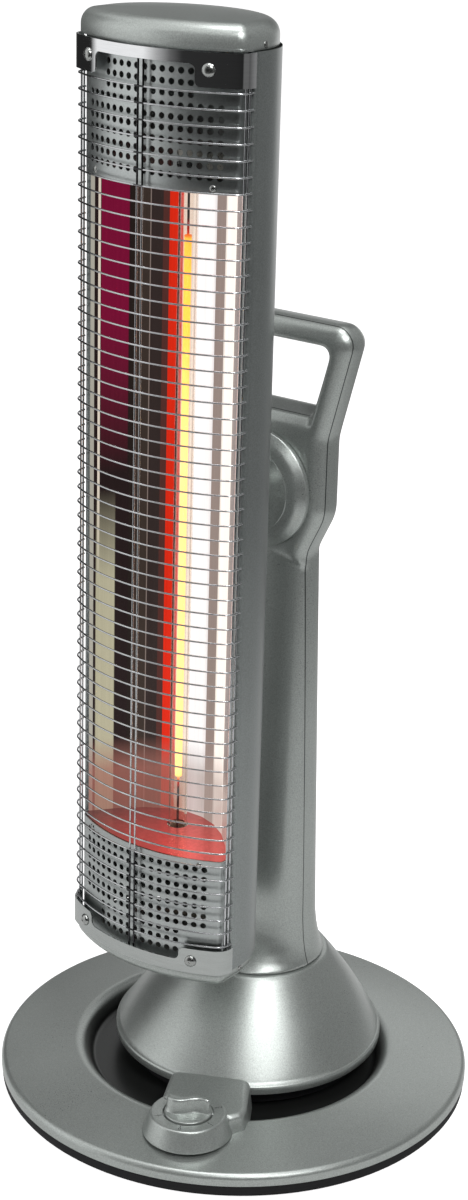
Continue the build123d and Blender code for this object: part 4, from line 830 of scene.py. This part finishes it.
class HEATER_OT_dial_marks(bpy.types.Operator):
    """Ticks and plain numbers printed round the knob"""

    bl_idname = "heater.dial_marks"
    bl_label = "Dial Marks"

    def execute(self, context):
        height = DIAL_HEIGHT + 0.03
        near, far, half, number_reach = 17.6, 19.4, 0.35, 21.3
        marks = []
        for degrees in (-120, -60, 0, 60, 120, 180):
            turn = KNOB_TURN + math.radians(degrees)
            corners = [turned_point(turn, reach, across) + np.array(KNOB_PLACE) for reach, across in (
                (near, -half), (far, -half), (far, half), (near, half))]
            marks.append((raised(np.array(corners), height), [[0, 1, 2, 3]]))
        ticks = new_object("dial_ticks", marks, 0.002)
        ticks.data.shade_smooth()
        dress(ticks, "stand", [], "print")
        face_up(ticks.data)
        for text, degrees in (("0", 0), ("1", 60), ("2", 120), ("3", -120), ("T", -60)):
            name = "dial_number_" + text
            curve = bpy.data.curves.new(name, "FONT")
            curve.body, curve.size = text, 0.0042
            curve.align_x, curve.align_y = "CENTER", "CENTER"
            words = bpy.data.objects.new(name, curve)
            bpy.context.scene.collection.objects.link(words)
            mesh = finished_mesh(words)
            bpy.data.objects.remove(words)
            turn = KNOB_TURN + math.radians(degrees)
            place = turned_point(turn, number_reach) + np.array(KNOB_PLACE)
            mesh.transform(Matrix.Translation((place[0] * MM, place[1] * MM, height * MM))
                           @ Matrix.Rotation(turn, 4, "Z"))
            piece = bpy.data.objects.new(name, mesh)
            bpy.context.scene.collection.objects.link(piece)
            dress(piece, "stand", [], "print")
        return {"FINISHED"}


def face_up(mesh):
    """Turn the faces of a level sheet upwards."""
    for polygon in mesh.polygons:
        if polygon.normal.z < 0:
            polygon.flip()


# ---------------------------------------------------------------- cone, pillar and hub


class HEATER_OT_cone(bpy.types.Operator):
    """Leaning cone: circles whose middles move back and whose radius shrinks with height"""

    bl_idname = "heater.cone"
    bl_label = "Cone"

    def execute(self, context):
        """Radius = foot + (neck - foot) s + 4 swell s (1 - s) for a share s of the height."""
        rim, foot, neck, swell, soft = 91.5, 89.9, 48.5, 2.3, 1.6
        low, rise, back = 32.2, 54.1, 7.0
        wall = 1.8
        # radius, y of the middle and height of each circle
        circles = [(88.6, CONE_OFFSET, 25.8), (91.1, CONE_OFFSET, 25.8), (rim, CONE_OFFSET, 26.3),
                   (rim, CONE_OFFSET, 30.2)]
        circles += [(rim - soft * (1 - math.cos(angle)), CONE_OFFSET, 30.2 + 1.8 * math.sin(angle))
                    for angle in np.linspace(0, math.pi / 2, 6)[1:]]
        circles += [(foot + (neck - foot) * share + swell * 4 * share * (1 - share),
                     CONE_OFFSET + back * share, low + rise * share) for share in np.linspace(0, 1, 30)[1:]]
        circles += [(47.9, 23.0, 86.5), (38.0, 23.0, 86.5), (38.0, 23.0, 83.0)]
        radius, middle, height = (column[:, None] for column in np.array(circles).T)
        turn = full_turn(180)
        points = np.stack([radius * np.cos(turn), middle + radius * np.sin(turn), height + 0 * turn], -1)
        make_piece("cone", [grid(points, wrap_columns=True)], "tower", ["cone_cover"],
                   "silver", angle=50, wall=(wall, -1.0))
        return {"FINISHED"}


PILLAR_SECTIONS = np.array([
    # height, half width, front, back, squareness
    (86.5, 47.3, -24.3, 70.3, 2.0), (89.0, 46.2, -19.5, 66.0, 2.05), (92.5, 45.0, -14.5, 62.5, 2.15),
    (98.0, 43.6, -8.5, 57.5, 2.4), (106.0, 42.2, -3.5, 52.5, 2.6), (120.0, 41.0, 0.0, 48.5, 2.8),
    (160.0, 40.0, 2.2, 46.0, 3.0), (384.0, 33.6, 12.8, 41.0, 3.0), (392.0, 33.4, 13.2, 40.8, 3.0)])
SHIELD_CORNERS = ((33.6, 370), (33.6, 380), (46.5, 406), (46.5, 457), (64, 523.5), (54.5, 532))
SHIELD_RADII = [0, 26, 30, 30, 11, 11]
WINDOW_CORNERS = ((35, 469.5), (49.5, 518.5), (-49.5, 518.5), (-35, 469.5))


class HEATER_OT_pillar(bpy.types.Operator):
    """Pillar, shield and carrying handle, melted into one moulded form"""

    bl_idname = "heater.pillar"
    bl_label = "Pillar and Handle"

    def execute(self, context):
        """The pillar is superellipses on its heights. The shield and the window are their outlines
        inset by a gap at each depth, and the window's sill falls toward the front."""
        heights = np.concatenate([np.linspace(86.5, 100, 12), np.linspace(104, 392, 50)])
        columns = [np.interp(heights, PILLAR_SECTIONS[:, 0], PILLAR_SECTIONS[:, k]) for k in range(1, 5)]
        pillar = closed_grid(np.stack([raised(superellipse(*values), z)
                                       for z, *values in zip(heights, *columns)]))
        outline = list(SHIELD_CORNERS) + [(-x, z) for x, z in reversed(SHIELD_CORNERS)]
        radii = SHIELD_RADII + SHIELD_RADII[::-1]
        loops = []
        for y, gap in ((12.0, 10.0), (12.9, 7.0), (15.0, 3.4), (18.0, 1.0), (22.0, 0.0), (30.0, 0.0),
                       (34.5, 2.2), (38.0, 8.0)):
            shape = rounded(inset_outline(outline, gap), [max(r - gap, 1.5) if r else 0 for r in radii], 9,
                            closed=True)
            loops.append(np.column_stack([shape[:, 0], np.full(len(shape), y), shape[:, 1]]))
        shield = closed_grid(np.stack(loops))
        loops = []
        for y, gap, drop in ((4.0, -1.5, 4.0), (12.0, -1.5, 4.0), (17.0, 1.0, 0.0), (33.0, 1.0, -3.0),
                             (38.0, 0.0, -4.0), (46.0, 0.0, -4.0)):
            shape = rounded(inset_outline(WINDOW_CORNERS, gap), [4.0, 6.5, 6.5, 4.0], 9, closed=True)
            lowered = shape[:, 1] - drop * np.clip((500 - shape[:, 1]) / 30, 0, 1)
            loops.append(np.column_stack([shape[:, 0], np.full(len(shape), y), lowered]))
        window = closed_grid(np.stack(loops))
        piece = melt("pillar_and_handle", [pillar, shield], [window], voxel=1.15, rounds=14)
        dress(piece, "tower", ["pillar_front_shell", "pillar_rear_shell"], "pillar")
        return {"FINISHED"}


class HEATER_OT_hub(bpy.types.Operator):
    """Swivel hub: a domed disc and a tapered neck, both turned about the swivel axis"""

    bl_idname = "heater.hub"
    bl_label = "Swivel Hub"

    def execute(self, context):
        centre = (0, 0, HUB_HEIGHT)
        disc = rounded([(SHAFT_HOLE, 11.6), (SHAFT_HOLE, 1.5), (15, 1.5), (26.8, 2.0), (27.3, 2.35),
                        (33.0, 3.6), (38.6, 8.4), (38.6, 11.6), (SHAFT_HOLE, 11.6)],
                       [0, 0, 2, 0.2, 0.2, 9.0, 1.6, 0.3, 0], 8)
        neck = rounded([(SHAFT_HOLE, -33), (19.8, -33), (18.6, -27), (14.0, -7), (14.0, 1.6),
                        (SHAFT_HOLE, 1.6), (SHAFT_HOLE, -33)], [0, 0, 3, 8, 0, 0, 0], 8)
        for name, node_name, profile, steps in (("hub_plate", "hub_disc", disc, 144),
                                                ("hub_stem", "hub_neck", neck, 96)):
            make_piece(name, [lathe(profile, centre, steps, "Y")], "heater_head", [node_name],
                       "silver", angle=35)
        return {"FINISHED"}


# ---------------------------------------------------------------- heater head


class HEATER_OT_casing(bpy.types.Operator):
    """Rear casing: one bent sheet, carried straight up"""

    bl_idname = "heater.casing"
    bl_label = "Rear Casing"

    def execute(self, context):
        """The loop runs from the right flange round a quarter bend, the side and the back half ellipse
        to the left, and returns along the inside, which lies a wall further in."""
        wall, flange, soft = 1.5, 5.0, 3.6
        side_y = np.linspace(FLANGE_Y + soft, BACK_CENTRE, 4)
        turn = np.linspace(0, math.pi / 2, 10)
        bend = np.column_stack([HEAD_HALF - soft + soft * np.sin(turn),
                                FLANGE_Y + soft - soft * np.cos(turn)])
        right = np.concatenate([[(HEAD_HALF - flange, FLANGE_Y + wall), (HEAD_HALF - flange, FLANGE_Y)],
                                bend, np.column_stack([np.full(4, HEAD_HALF), side_y])[1:]])
        outer = np.concatenate([right, back_half()[1:-1], right[::-1] * (-1, 1)])
        inner_right = np.array([(HEAD_HALF - wall - 1.6, FLANGE_Y + wall),
                                (HEAD_HALF - wall, FLANGE_Y + 2 * soft), (HEAD_HALF - wall, BACK_CENTRE)])
        inner = np.concatenate([inner_right, back_half(-wall)[1:-1], inner_right[::-1] * (-1, 1)])
        loop = np.concatenate([outer, inner[::-1]])
        surface = grid(np.stack([raised(loop, z) for z in (HEAD_BOTTOM, HEAD_TOP)]), wrap_columns=True)
        make_piece("rear_casing", [surface], "heater_head", ["rear_housing"], "casing")
        return {"FINISHED"}


class HEATER_OT_caps(bpy.types.Operator):
    """Top and bottom caps: the head's outline, rounded over its edge and closed with a shallow dome"""

    bl_idname = "heater.caps"
    bl_label = "End Caps"

    def execute(self, context):
        """Rows go up the side, over a quarter arc, and in to the middle at height - rise scale^2."""
        rise, middle = 1.8, np.array([0.0, -70.0])
        top_round = context.scene.heater_sizes.cap_round / MM
        for name, cap, level, up, height, soft in (
                ("top_cover", "top_cap", HEAD_TOP, 1, 17.2, top_round),
                ("bottom_cover", "bottom_cap", HEAD_BOTTOM, -1, 11.2, 6.0)):
            side_top = height - soft - rise
            # inset, height and scale of each row
            rows = [(CAP_INSET + 0.2, 0.3, 1.0), (CAP_INSET, 0.6, 1.0), (CAP_INSET, side_top, 1.0)]
            rows += [(CAP_INSET + soft * (1 - math.cos(angle)), side_top + soft * math.sin(angle), 1.0)
                     for angle in np.linspace(0, math.pi / 2, 10)[1:]]
            rows += [(CAP_INSET + soft, height - rise * scale ** 2, scale)
                     for scale in (0.96, 0.9, 0.8, 0.65, 0.45, 0.2, 0.0)]
            points = [raised(head_outline(-CAP_INSET - 2), level + up * 0.3)]
            points += [raised(middle + (head_outline(-inset) - middle) * scale, level + up * z)
                       for inset, z, scale in rows]
            make_piece(name, [grid(np.stack(points), wrap_columns=True)], "heater_head", [cap],
                       "silver", angle=60)
        return {"FINISHED"}


class HEATER_OT_bands(bpy.types.Operator):
    """Polished bands over both ends of the grille, each with a wide notch"""

    bl_idname = "heater.bands"
    bl_label = "Polished Bands"

    def execute(self, context):
        """Four lines along the head's front, at two depths, join the notched edge to the level edge."""
        half, soft = 36.0, 3.5
        floor_to, corner_from, level_from = 31, 32, 40
        reach = FLANGE_REACH - 0.2
        ends = front_steps(reach)
        for name, band, level, side, tall, notch, plating in (
                ("upper_trim", "upper_band", HEAD_TOP, 1, UPPER_BAND, 12.6, "chrome"),
                ("lower_trim", "lower_band", HEAD_BOTTOM, -1, LOWER_BAND, 8.6, "satin_with_painted_shade")):
            edge = rounded([(-reach, 0), (-half, 0), (-half, notch), (half, notch), (half, 0), (reach, 0)],
                           [0, soft, soft, soft, soft, 0], 7)
            left, right = ends[ends < -level_from], ends[ends > level_from]
            middle = np.linspace(-floor_to, floor_to, 15)
            path = np.concatenate([
                np.column_stack([left, 0 * left]), edge[edge[:, 0] < -corner_from][1:],
                np.column_stack([middle, np.full(len(middle), notch)]), edge[edge[:, 0] > corner_from][:-1],
                np.column_stack([right, 0 * right])])
            near = level - side * tall + side * path[:, 1]
            far = np.full(len(path), float(level))
            rows = [np.column_stack([front_point(path[:, 0], grow), z])
                    for grow, z in ((0.25, near), (1.0, near), (1.0, far), (0.25, far))]
            points, faces = grid(np.stack(rows), wrap_rows=True)
            count = len(path)
            faces += [[count * k for k in range(4)], [count * (k + 1) - 1 for k in range(4)]]
            make_piece(name, [(points, faces)], "heater_head", [band], plating, angle=30)
        return {"FINISHED"}


class HEATER_OT_perforated_sheets(bpy.types.Operator):
    """Perforated sheets: cells with a round hole, laid on the curved front and bent round its corners"""

    bl_idname = "heater.perforated_sheets"
    bl_label = "Perforated Sheets"

    def execute(self, context):
        """A cell joins 16 points of its square to 16 of its hole. Places along the sheet are
        measured on the outer front and are therefore a little wider than on the sheet."""
        hole = context.scene.heater_sizes.hole_radius / MM
        pitch_x, pitch_z, wall, columns, rows, margin = 6.0, 6.5, 0.8, 17, 10, 11.6
        notched_rows, notched_half = 3, 5.6
        scale = FRONT_RADIUS / (FRONT_RADIUS - SHEET_INSET)
        cell = np.array([pitch_x * scale, pitch_z])
        angle = full_turn(16)
        ring = np.column_stack([np.cos(angle), np.sin(angle)])
        square = ring / np.abs(ring).max(1)[:, None] / 2
        count = len(angle)
        k = np.arange(count)
        quads = np.stack([k, (k + 1) % count, count + (k + 1) % count, count + k], -1)
        box = np.array([(-0.5, -0.5), (0.5, -0.5), (0.5, 0.5), (-0.5, 0.5)])
        edge_x = columns / 2 * cell[0]
        steps = front_steps(FLANGE_REACH - 0.4)
        sides = np.concatenate([[edge_x], steps[steps > edge_x + 0.5]])
        for name, sheet, low, high, side in (
                ("upper_sheet", "upper_perforated_plate", SHELF_HIGH, HEAD_TOP - 0.2, 1),
                ("lower_sheet", "lower_perforated_plate", HEAD_BOTTOM + 0.2, SHELF_LOW, -1)):
            level = (high if side > 0 else low) - side * (margin + np.arange(rows) * pitch_z)
            column, row = np.meshgrid((np.arange(columns) - columns // 2) * cell[0], level)
            # the rows behind the band's notch have fewer holes
            holed = (np.abs(column) < notched_half * cell[0]) | (np.arange(rows)[:, None] >= notched_rows)
            centres = np.column_stack([column[holed], row[holed]])[:, None]
            flat = np.concatenate([centres + square * cell, centres + ring * hole * (scale, 1)], 1)
            faces = (quads + (np.arange(len(centres)) * 2 * count)[:, None, None]).reshape(-1, 4).tolist()
            flat = flat.reshape(-1, 2)
            plain = np.column_stack([column[~holed], row[~holed]])[:, None]
            faces += (np.arange(len(plain) * 4).reshape(-1, 4) + len(flat)).tolist()
            flat = np.concatenate([flat, (plain + box * cell).reshape(-1, 2)])
            middle = np.linspace(-edge_x, edge_x, 2 * columns + 1)
            for along, upper, lower in ((-sides, high, low), (sides, high, low),
                                        (middle, high, level.max() + pitch_z / 2),
                                        (middle, level.min() - pitch_z / 2, low)):
                if abs(upper - lower) > 0.05:
                    strip = np.stack([raised(along[:, None], z) for z in (upper, lower)])
                    faces += (grid_faces(*strip.shape[:2]) + len(flat)).tolist()
                    flat = np.concatenate([flat, strip.reshape(-1, 2)])
            flat[:, 1] = np.clip(flat[:, 1], low, high)
            points = np.column_stack([front_point(flat[:, 0], -SHEET_INSET), flat[:, 1]])
            make_piece(name, [(points, faces)], "heater_head", [sheet], "sheet", angle=50,
                       wall=(wall, 0.0))
        return {"FINISHED"}


def tube_along(path, radius, sides=8):
    """A round tube on a level path of x, y and z points: each ring stands square to the path."""
    path = np.asarray(path, float)
    ahead = np.gradient(path, axis=0)
    ahead /= np.linalg.norm(ahead, axis=1)[:, None]
    out = np.column_stack([ahead[:, 1], -ahead[:, 0], 0 * ahead[:, 0]])
    turn = full_turn(sides)
    return closed_grid(path[:, None] + radius * (np.cos(turn)[None, :, None] * out[:, None]
                                                 + np.sin(turn)[None, :, None] * np.array([0, 0, 1.0])))


class HEATER_OT_grille(bpy.types.Operator):
    """Wire grille: level wires bent round the front, on upright wires"""

    bl_idname = "heater.grille"
    bl_label = "Wire Grille"

    def execute(self, context):
        sizes = context.scene.heater_sizes
        radius, upright = sizes.wire_radius / MM, sizes.upright_radius / MM
        pitch, count = sizes.wire_pitch / MM, sizes.wire_count
        path = front_point(front_steps(FLANGE_REACH + 0.2, arc=22, corner=7), -radius)
        one_points, one_faces = tube_along(raised(path, 0), radius)
        surfaces = [(one_points + (0, 0, GRILLE_MIDDLE + (step - (count - 1) / 2) * pitch), one_faces)
                    for step in range(count)]
        sunk = 0.15
        behind = -(2 * radius + upright - sunk)
        pair, corner, inner = 1.9, CORNER_REACH + 0.2, CORNER_REACH - 3.2
        ring = np.column_stack([np.cos(full_turn(10)), np.sin(full_turn(10))])
        for along in (-pair, pair, -corner, corner, -inner, inner):
            outline = front_point(np.array([along]), behind)[0] + upright * ring
            surfaces.append(closed_grid(np.stack([raised(outline, z)
                                                  for z in (HEAD_BOTTOM + 2, HEAD_TOP - 2)])))
        make_piece("grille", surfaces, "heater_head", ["wire_grille"], "wire", angle=60,
                   merge=0.0001)
        return {"FINISHED"}


def screw_head(radius, height, stem, recess):
    """Profile of a round head on its stem, with a small dent in its middle."""
    angle = np.linspace(0, math.pi / 2, 9)
    cap = np.column_stack([radius * np.cos(angle), height * np.sin(angle)])[1:-1]
    dent = [(0.30 * radius, height * 0.97), (0.22 * radius, height - recess), (0.0, height - recess)]
    return np.concatenate([[(0.0, -2.0), (stem, -2.0), (stem, 0.0), (radius, 0.0)], cap, dent])


class HEATER_OT_head_screws(bpy.types.Operator):
    """Round-headed screws of the bands, the caps and the perforated sheets"""

    bl_idname = "heater.head_screws"
    bl_label = "Head Screws"

    def execute(self, context):
        """Each head stands on a place at its level and side, and points straight out there."""
        sides, proud, raised_by, cap_gap, shelf_gap = (-1, 1), 1.0, 0.1, 3, 3.4
        on_band = [front_and_out(side * SCREW_ACROSS, FRONT_RADIUS, proud) for side in sides]
        on_cap = [((side * (HEAD_HALF - CAP_INSET), BACK_CENTRE), (side, 0, 0)) for side in sides]
        on_sheet = [front_and_out(side * SCREW_ACROSS, FRONT_RADIUS - SHEET_INSET, raised_by - SHEET_INSET)
                    for side in sides]
        for name, screws, head, places, levels in (
                ("band_screw_heads", "band_screws", (3.9, 2.3, 1.5, 0.4), on_band,
                 (HEAD_TOP - UPPER_BAND / 2, HEAD_BOTTOM + LOWER_BAND / 2)),
                ("cap_screw_heads", "cap_screws", (2.0, 0.55, 1.2, 0.3), on_cap,
                 (HEAD_TOP + cap_gap, HEAD_BOTTOM - cap_gap)),
                ("sheet_screw_heads", "plate_screws", (2.2, 1.2, 1.0, 0.4), on_sheet,
                 (SHELF_HIGH + shelf_gap, SHELF_LOW - shelf_gap))):
            surfaces = [leaning_lathe(screw_head(*head), (*place, level), out)
                        for level in levels for place, out in places]
            make_piece(name, surfaces, "heater_head", [screws], "screw", angle=35,
                       merge=0.0005)
        return {"FINISHED"}


class HEATER_OT_kept_nodes(bpy.types.Operator):
    """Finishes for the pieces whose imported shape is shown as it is"""

    bl_idname = "heater.kept_nodes"
    bl_label = "Kept Pieces"

    def execute(self, context):
        for name, kept in KEPT_NODES.items():
            for node_name in kept:
                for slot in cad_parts[node_name].material_slots:
                    slot.material = finish(name)
        return {"FINISHED"}


# ---------------------------------------------------------------- stage

CAMERA_TURN, CAMERA_PITCH, CAMERA_ROLL = (math.radians(angle) for angle in (36.5, 20.45, 1.5))
CAMERA_AWAY, CAMERA_HEIGHT, CAMERA_SIDE = 1.4507, 0.8863, -0.0079
CAMERA_LENS = 72.0
LAMPS = (
    # name, place, target, size in metres, power
    ("Key", (1.3, -0.9, 1.9), (0, 0, 0.1), (0.7, 0.7), 36),
    ("Front", (-1.0, -1.9, 1.4), (0, 0, 0.35), (0.8, 1.2), 18),
    ("Overhead", (0.1, -0.2, 2.3), (0, 0, 0.2), (0.9, 0.6), 12),
)
FLOOR_HALF = 40000.0
CARD_REACH = 900.0
CARD_SIDES = (
    # direction in degrees from -Y towards +X, then the shade that metal mirrors there
    (-180, 0.12), (-108, 0.12), (-102, 0.02), (-74, 0.02), (-68, 1.0), (-31, 1.0), (-23, 0.5),
    (-14, 0.14), (-7, 0.03), (60, 0.02), (66, 0.14), (92, 0.14), (100, 0.10), (140, 0.24), (172, 0.32),
    (180, 0.30))
CARD_BACK = (
    # height, then the shade behind the object
    (0, 0.16), (200, 0.24), (290, 0.55), (400, 1.0), (680, 1.0), (840, 0.22), (960, 0.05), (1300, 0.04))
CARD_BLEND = (
    # direction, then how far the back's shades replace the sides' there
    (-180, 1.0), (-146, 1.0), (-130, 0.45), (-110, 0.12), (-104, 0.0), (168, 0.0), (180, 1.0))


def background_rays(tree):
    """A value that is 1 where a camera, mirror or glass ray arrives."""
    rays = node(tree, "LightPath")
    mirror = maths(tree, "MAXIMUM", rays["Is Glossy Ray"], rays["Is Transmission Ray"])
    return maths(tree, "MAXIMUM", rays["Is Camera Ray"], mirror)


def greys(stops):
    """Stops of a ramp from places and shades."""
    return [(place, (shade,) * 3) for place, shade in stops]


def studio_card():
    """A curved card round the object, seen only in its reflections: an upright cylinder whose shade
    follows the direction atan2(x, -y), and the height at the back."""
    material = bpy.data.materials.new("Studio card")
    material.use_nodes = True
    tree = material.node_tree
    place = position(tree)
    direction = maths(tree, "ARCTAN2", place["X"], maths(tree, "MULTIPLY", place["Y"], -1.0))
    around = fade(tree, direction, -math.pi, math.pi)
    sides = ramp(tree, around, greys(CARD_SIDES), -180, 180)
    back = ramp(tree, fade(tree, place["Z"], 0.0, 1.3), greys(CARD_BACK), 0, 1300)
    blend = ramp(tree, around, greys(CARD_BLEND), -180, 180)
    glow = node(tree, "Emission", {"Color": mix(tree, blend, sides, back)})[0]
    feed(tree.nodes["Material Output"], {"Surface": glow})
    columns, foot, front_top, back_top, back_from = 96, -0.2, 1300.0, 1900.0, 1.75
    angle = np.linspace(-math.pi, math.pi, columns, endpoint=False)
    top = np.where(np.abs(angle) > back_from, back_top, front_top)
    rows = [np.column_stack([CARD_REACH * np.sin(angle), -CARD_REACH * np.cos(angle), z])
            for z in (np.full(columns, foot), top)]
    card = new_object("studio_card", [grid(np.stack(rows), wrap_columns=True)], 0.001)
    card.data.materials.append(material)
    card.visible_camera = card.visible_diffuse = card.visible_shadow = card.visible_transmission = False


def pale_floor():
    """A level floor that is white to the camera and keeps a soft shadow."""
    material, tree, shader = new_material("Pale floor", Base_Color=(0.6, 0.6, 0.6, 1), Roughness=0.9,
                                          Specular_IOR_Level=0.1)
    to_camera, to_mirrors, below = 0.78, 0.1, -0.3
    seen = node(tree, "LightPath")["Is Camera Ray"]
    mirrored = maths(tree, "MULTIPLY", background_rays(tree), to_mirrors)
    strength = maths(tree, "MULTIPLY_ADD", seen, to_camera, mirrored)
    glow = node(tree, "Emission", {"Color": (1, 1, 1, 1), "Strength": strength})[0]
    both = node(tree, "AddShader", {0: shader.outputs[0], 1: glow})[0]
    feed(tree.nodes["Material Output"], {"Surface": both})
    corners = [[(x, y, below) for x in (-FLOOR_HALF, FLOOR_HALF)] for y in (-FLOOR_HALF, FLOOR_HALF)]
    floor = new_object("floor", [grid(np.array(corners))], 0.001)
    face_up(floor.data)
    floor.data.materials.append(material)


def place_camera(scene):
    """The camera looks from its turn, pitch and roll at its distance."""
    data = bpy.data.cameras.new("Camera")
    data.sensor_fit, data.sensor_width, data.lens = "AUTO", 36.0, CAMERA_LENS
    data.clip_start, data.clip_end = 0.05, 30
    camera = bpy.data.objects.new("Camera", data)
    scene.collection.objects.link(camera)
    scene.camera = camera
    c, s = math.cos(CAMERA_TURN), math.sin(CAMERA_TURN)
    right, away, up = Vector((c, s, 0)), Vector((-s, c, 0)), Vector((0, 0, 1))
    forward = away * math.cos(CAMERA_PITCH) - up * math.sin(CAMERA_PITCH)
    above = away * math.sin(CAMERA_PITCH) + up * math.cos(CAMERA_PITCH)
    side = right * math.cos(CAMERA_ROLL) + above * math.sin(CAMERA_ROLL)
    top = above * math.cos(CAMERA_ROLL) - right * math.sin(CAMERA_ROLL)
    place = right * CAMERA_SIDE - away * CAMERA_AWAY + up * CAMERA_HEIGHT
    columns = [(*axis, 0) for axis in (side, top, -forward)] + [(*place, 1)]
    camera.matrix_world = Matrix(columns).transposed()


class HEATER_OT_stage(bpy.types.Operator):
    """Pale floor, soft light, white surroundings and the camera"""

    bl_idname = "heater.stage"
    bl_label = "Stage"

    def execute(self, context):
        scene = context.scene
        scene.world = bpy.data.worlds.new("Studio")
        scene.world.use_nodes = True
        tree = scene.world.node_tree
        strength = fade(tree, background_rays(tree), 0.0, 1.0, 0.35, 1.0)
        feed(tree.nodes["Background"], {"Color": (1, 1, 1, 1), "Strength": strength})
        pale_floor()
        studio_card()
        for name, place, target, size, power in LAMPS:
            data = bpy.data.lights.new(name, "AREA")
            data.shape, data.size, data.size_y, data.energy = "RECTANGLE", *size, power
            lamp = bpy.data.objects.new(name, data)
            lamp.location = place
            lamp.rotation_euler = (Vector(target) - Vector(place)).to_track_quat("-Z", "Y").to_euler()
            scene.collection.objects.link(lamp)
        place_camera(scene)
        scene.view_settings.view_transform = "Standard"
        return {"FINISHED"}


OPERATORS = (
    HEATER_OT_stand_plate, HEATER_OT_control_bridge, HEATER_OT_selector_knob, HEATER_OT_dial_marks,
    HEATER_OT_cone, HEATER_OT_pillar, HEATER_OT_hub, HEATER_OT_casing, HEATER_OT_caps, HEATER_OT_bands,
    HEATER_OT_perforated_sheets, HEATER_OT_grille, HEATER_OT_head_screws, HEATER_OT_kept_nodes,
    HEATER_OT_stage,
)


class HEATER_PT_panel(bpy.types.Panel):
    """Panel that lists the heater's pieces and settings"""

    bl_idname = "HEATER_PT_panel"
    bl_label = "Infrared Tower Heater"
    bl_space_type = "VIEW_3D"
    bl_region_type = "UI"
    bl_category = "Heater"

    def draw(self, context):
        for group in (context.scene.heater_sizes, context.scene.heater_finish):
            box = self.layout.box()
            for name in group.__annotations__:
                box.prop(group, name)
        column = self.layout.column(align=True)
        for operator in OPERATORS:
            column.operator(operator.bl_idname)


CLASSES = (HeaterSizes, HeaterFinish, *OPERATORS, HEATER_PT_panel)


def register():
    """Register the classes and the scene's settings."""
    for item in CLASSES:
        bpy.utils.register_class(item)
    bpy.types.Scene.heater_sizes = bpy.props.PointerProperty(type=HeaterSizes)
    bpy.types.Scene.heater_finish = bpy.props.PointerProperty(type=HeaterFinish)


def unregister():
    """Remove the classes and the scene's settings."""
    del bpy.types.Scene.heater_finish
    del bpy.types.Scene.heater_sizes
    for item in reversed(CLASSES):
        bpy.utils.unregister_class(item)


def main():
    """Build every piece and the stage."""
    register()
    for operator in OPERATORS:
        group, name = operator.bl_idname.split(".")
        getattr(getattr(bpy.ops, group), name)()


if __name__ == "__main__":
    main()
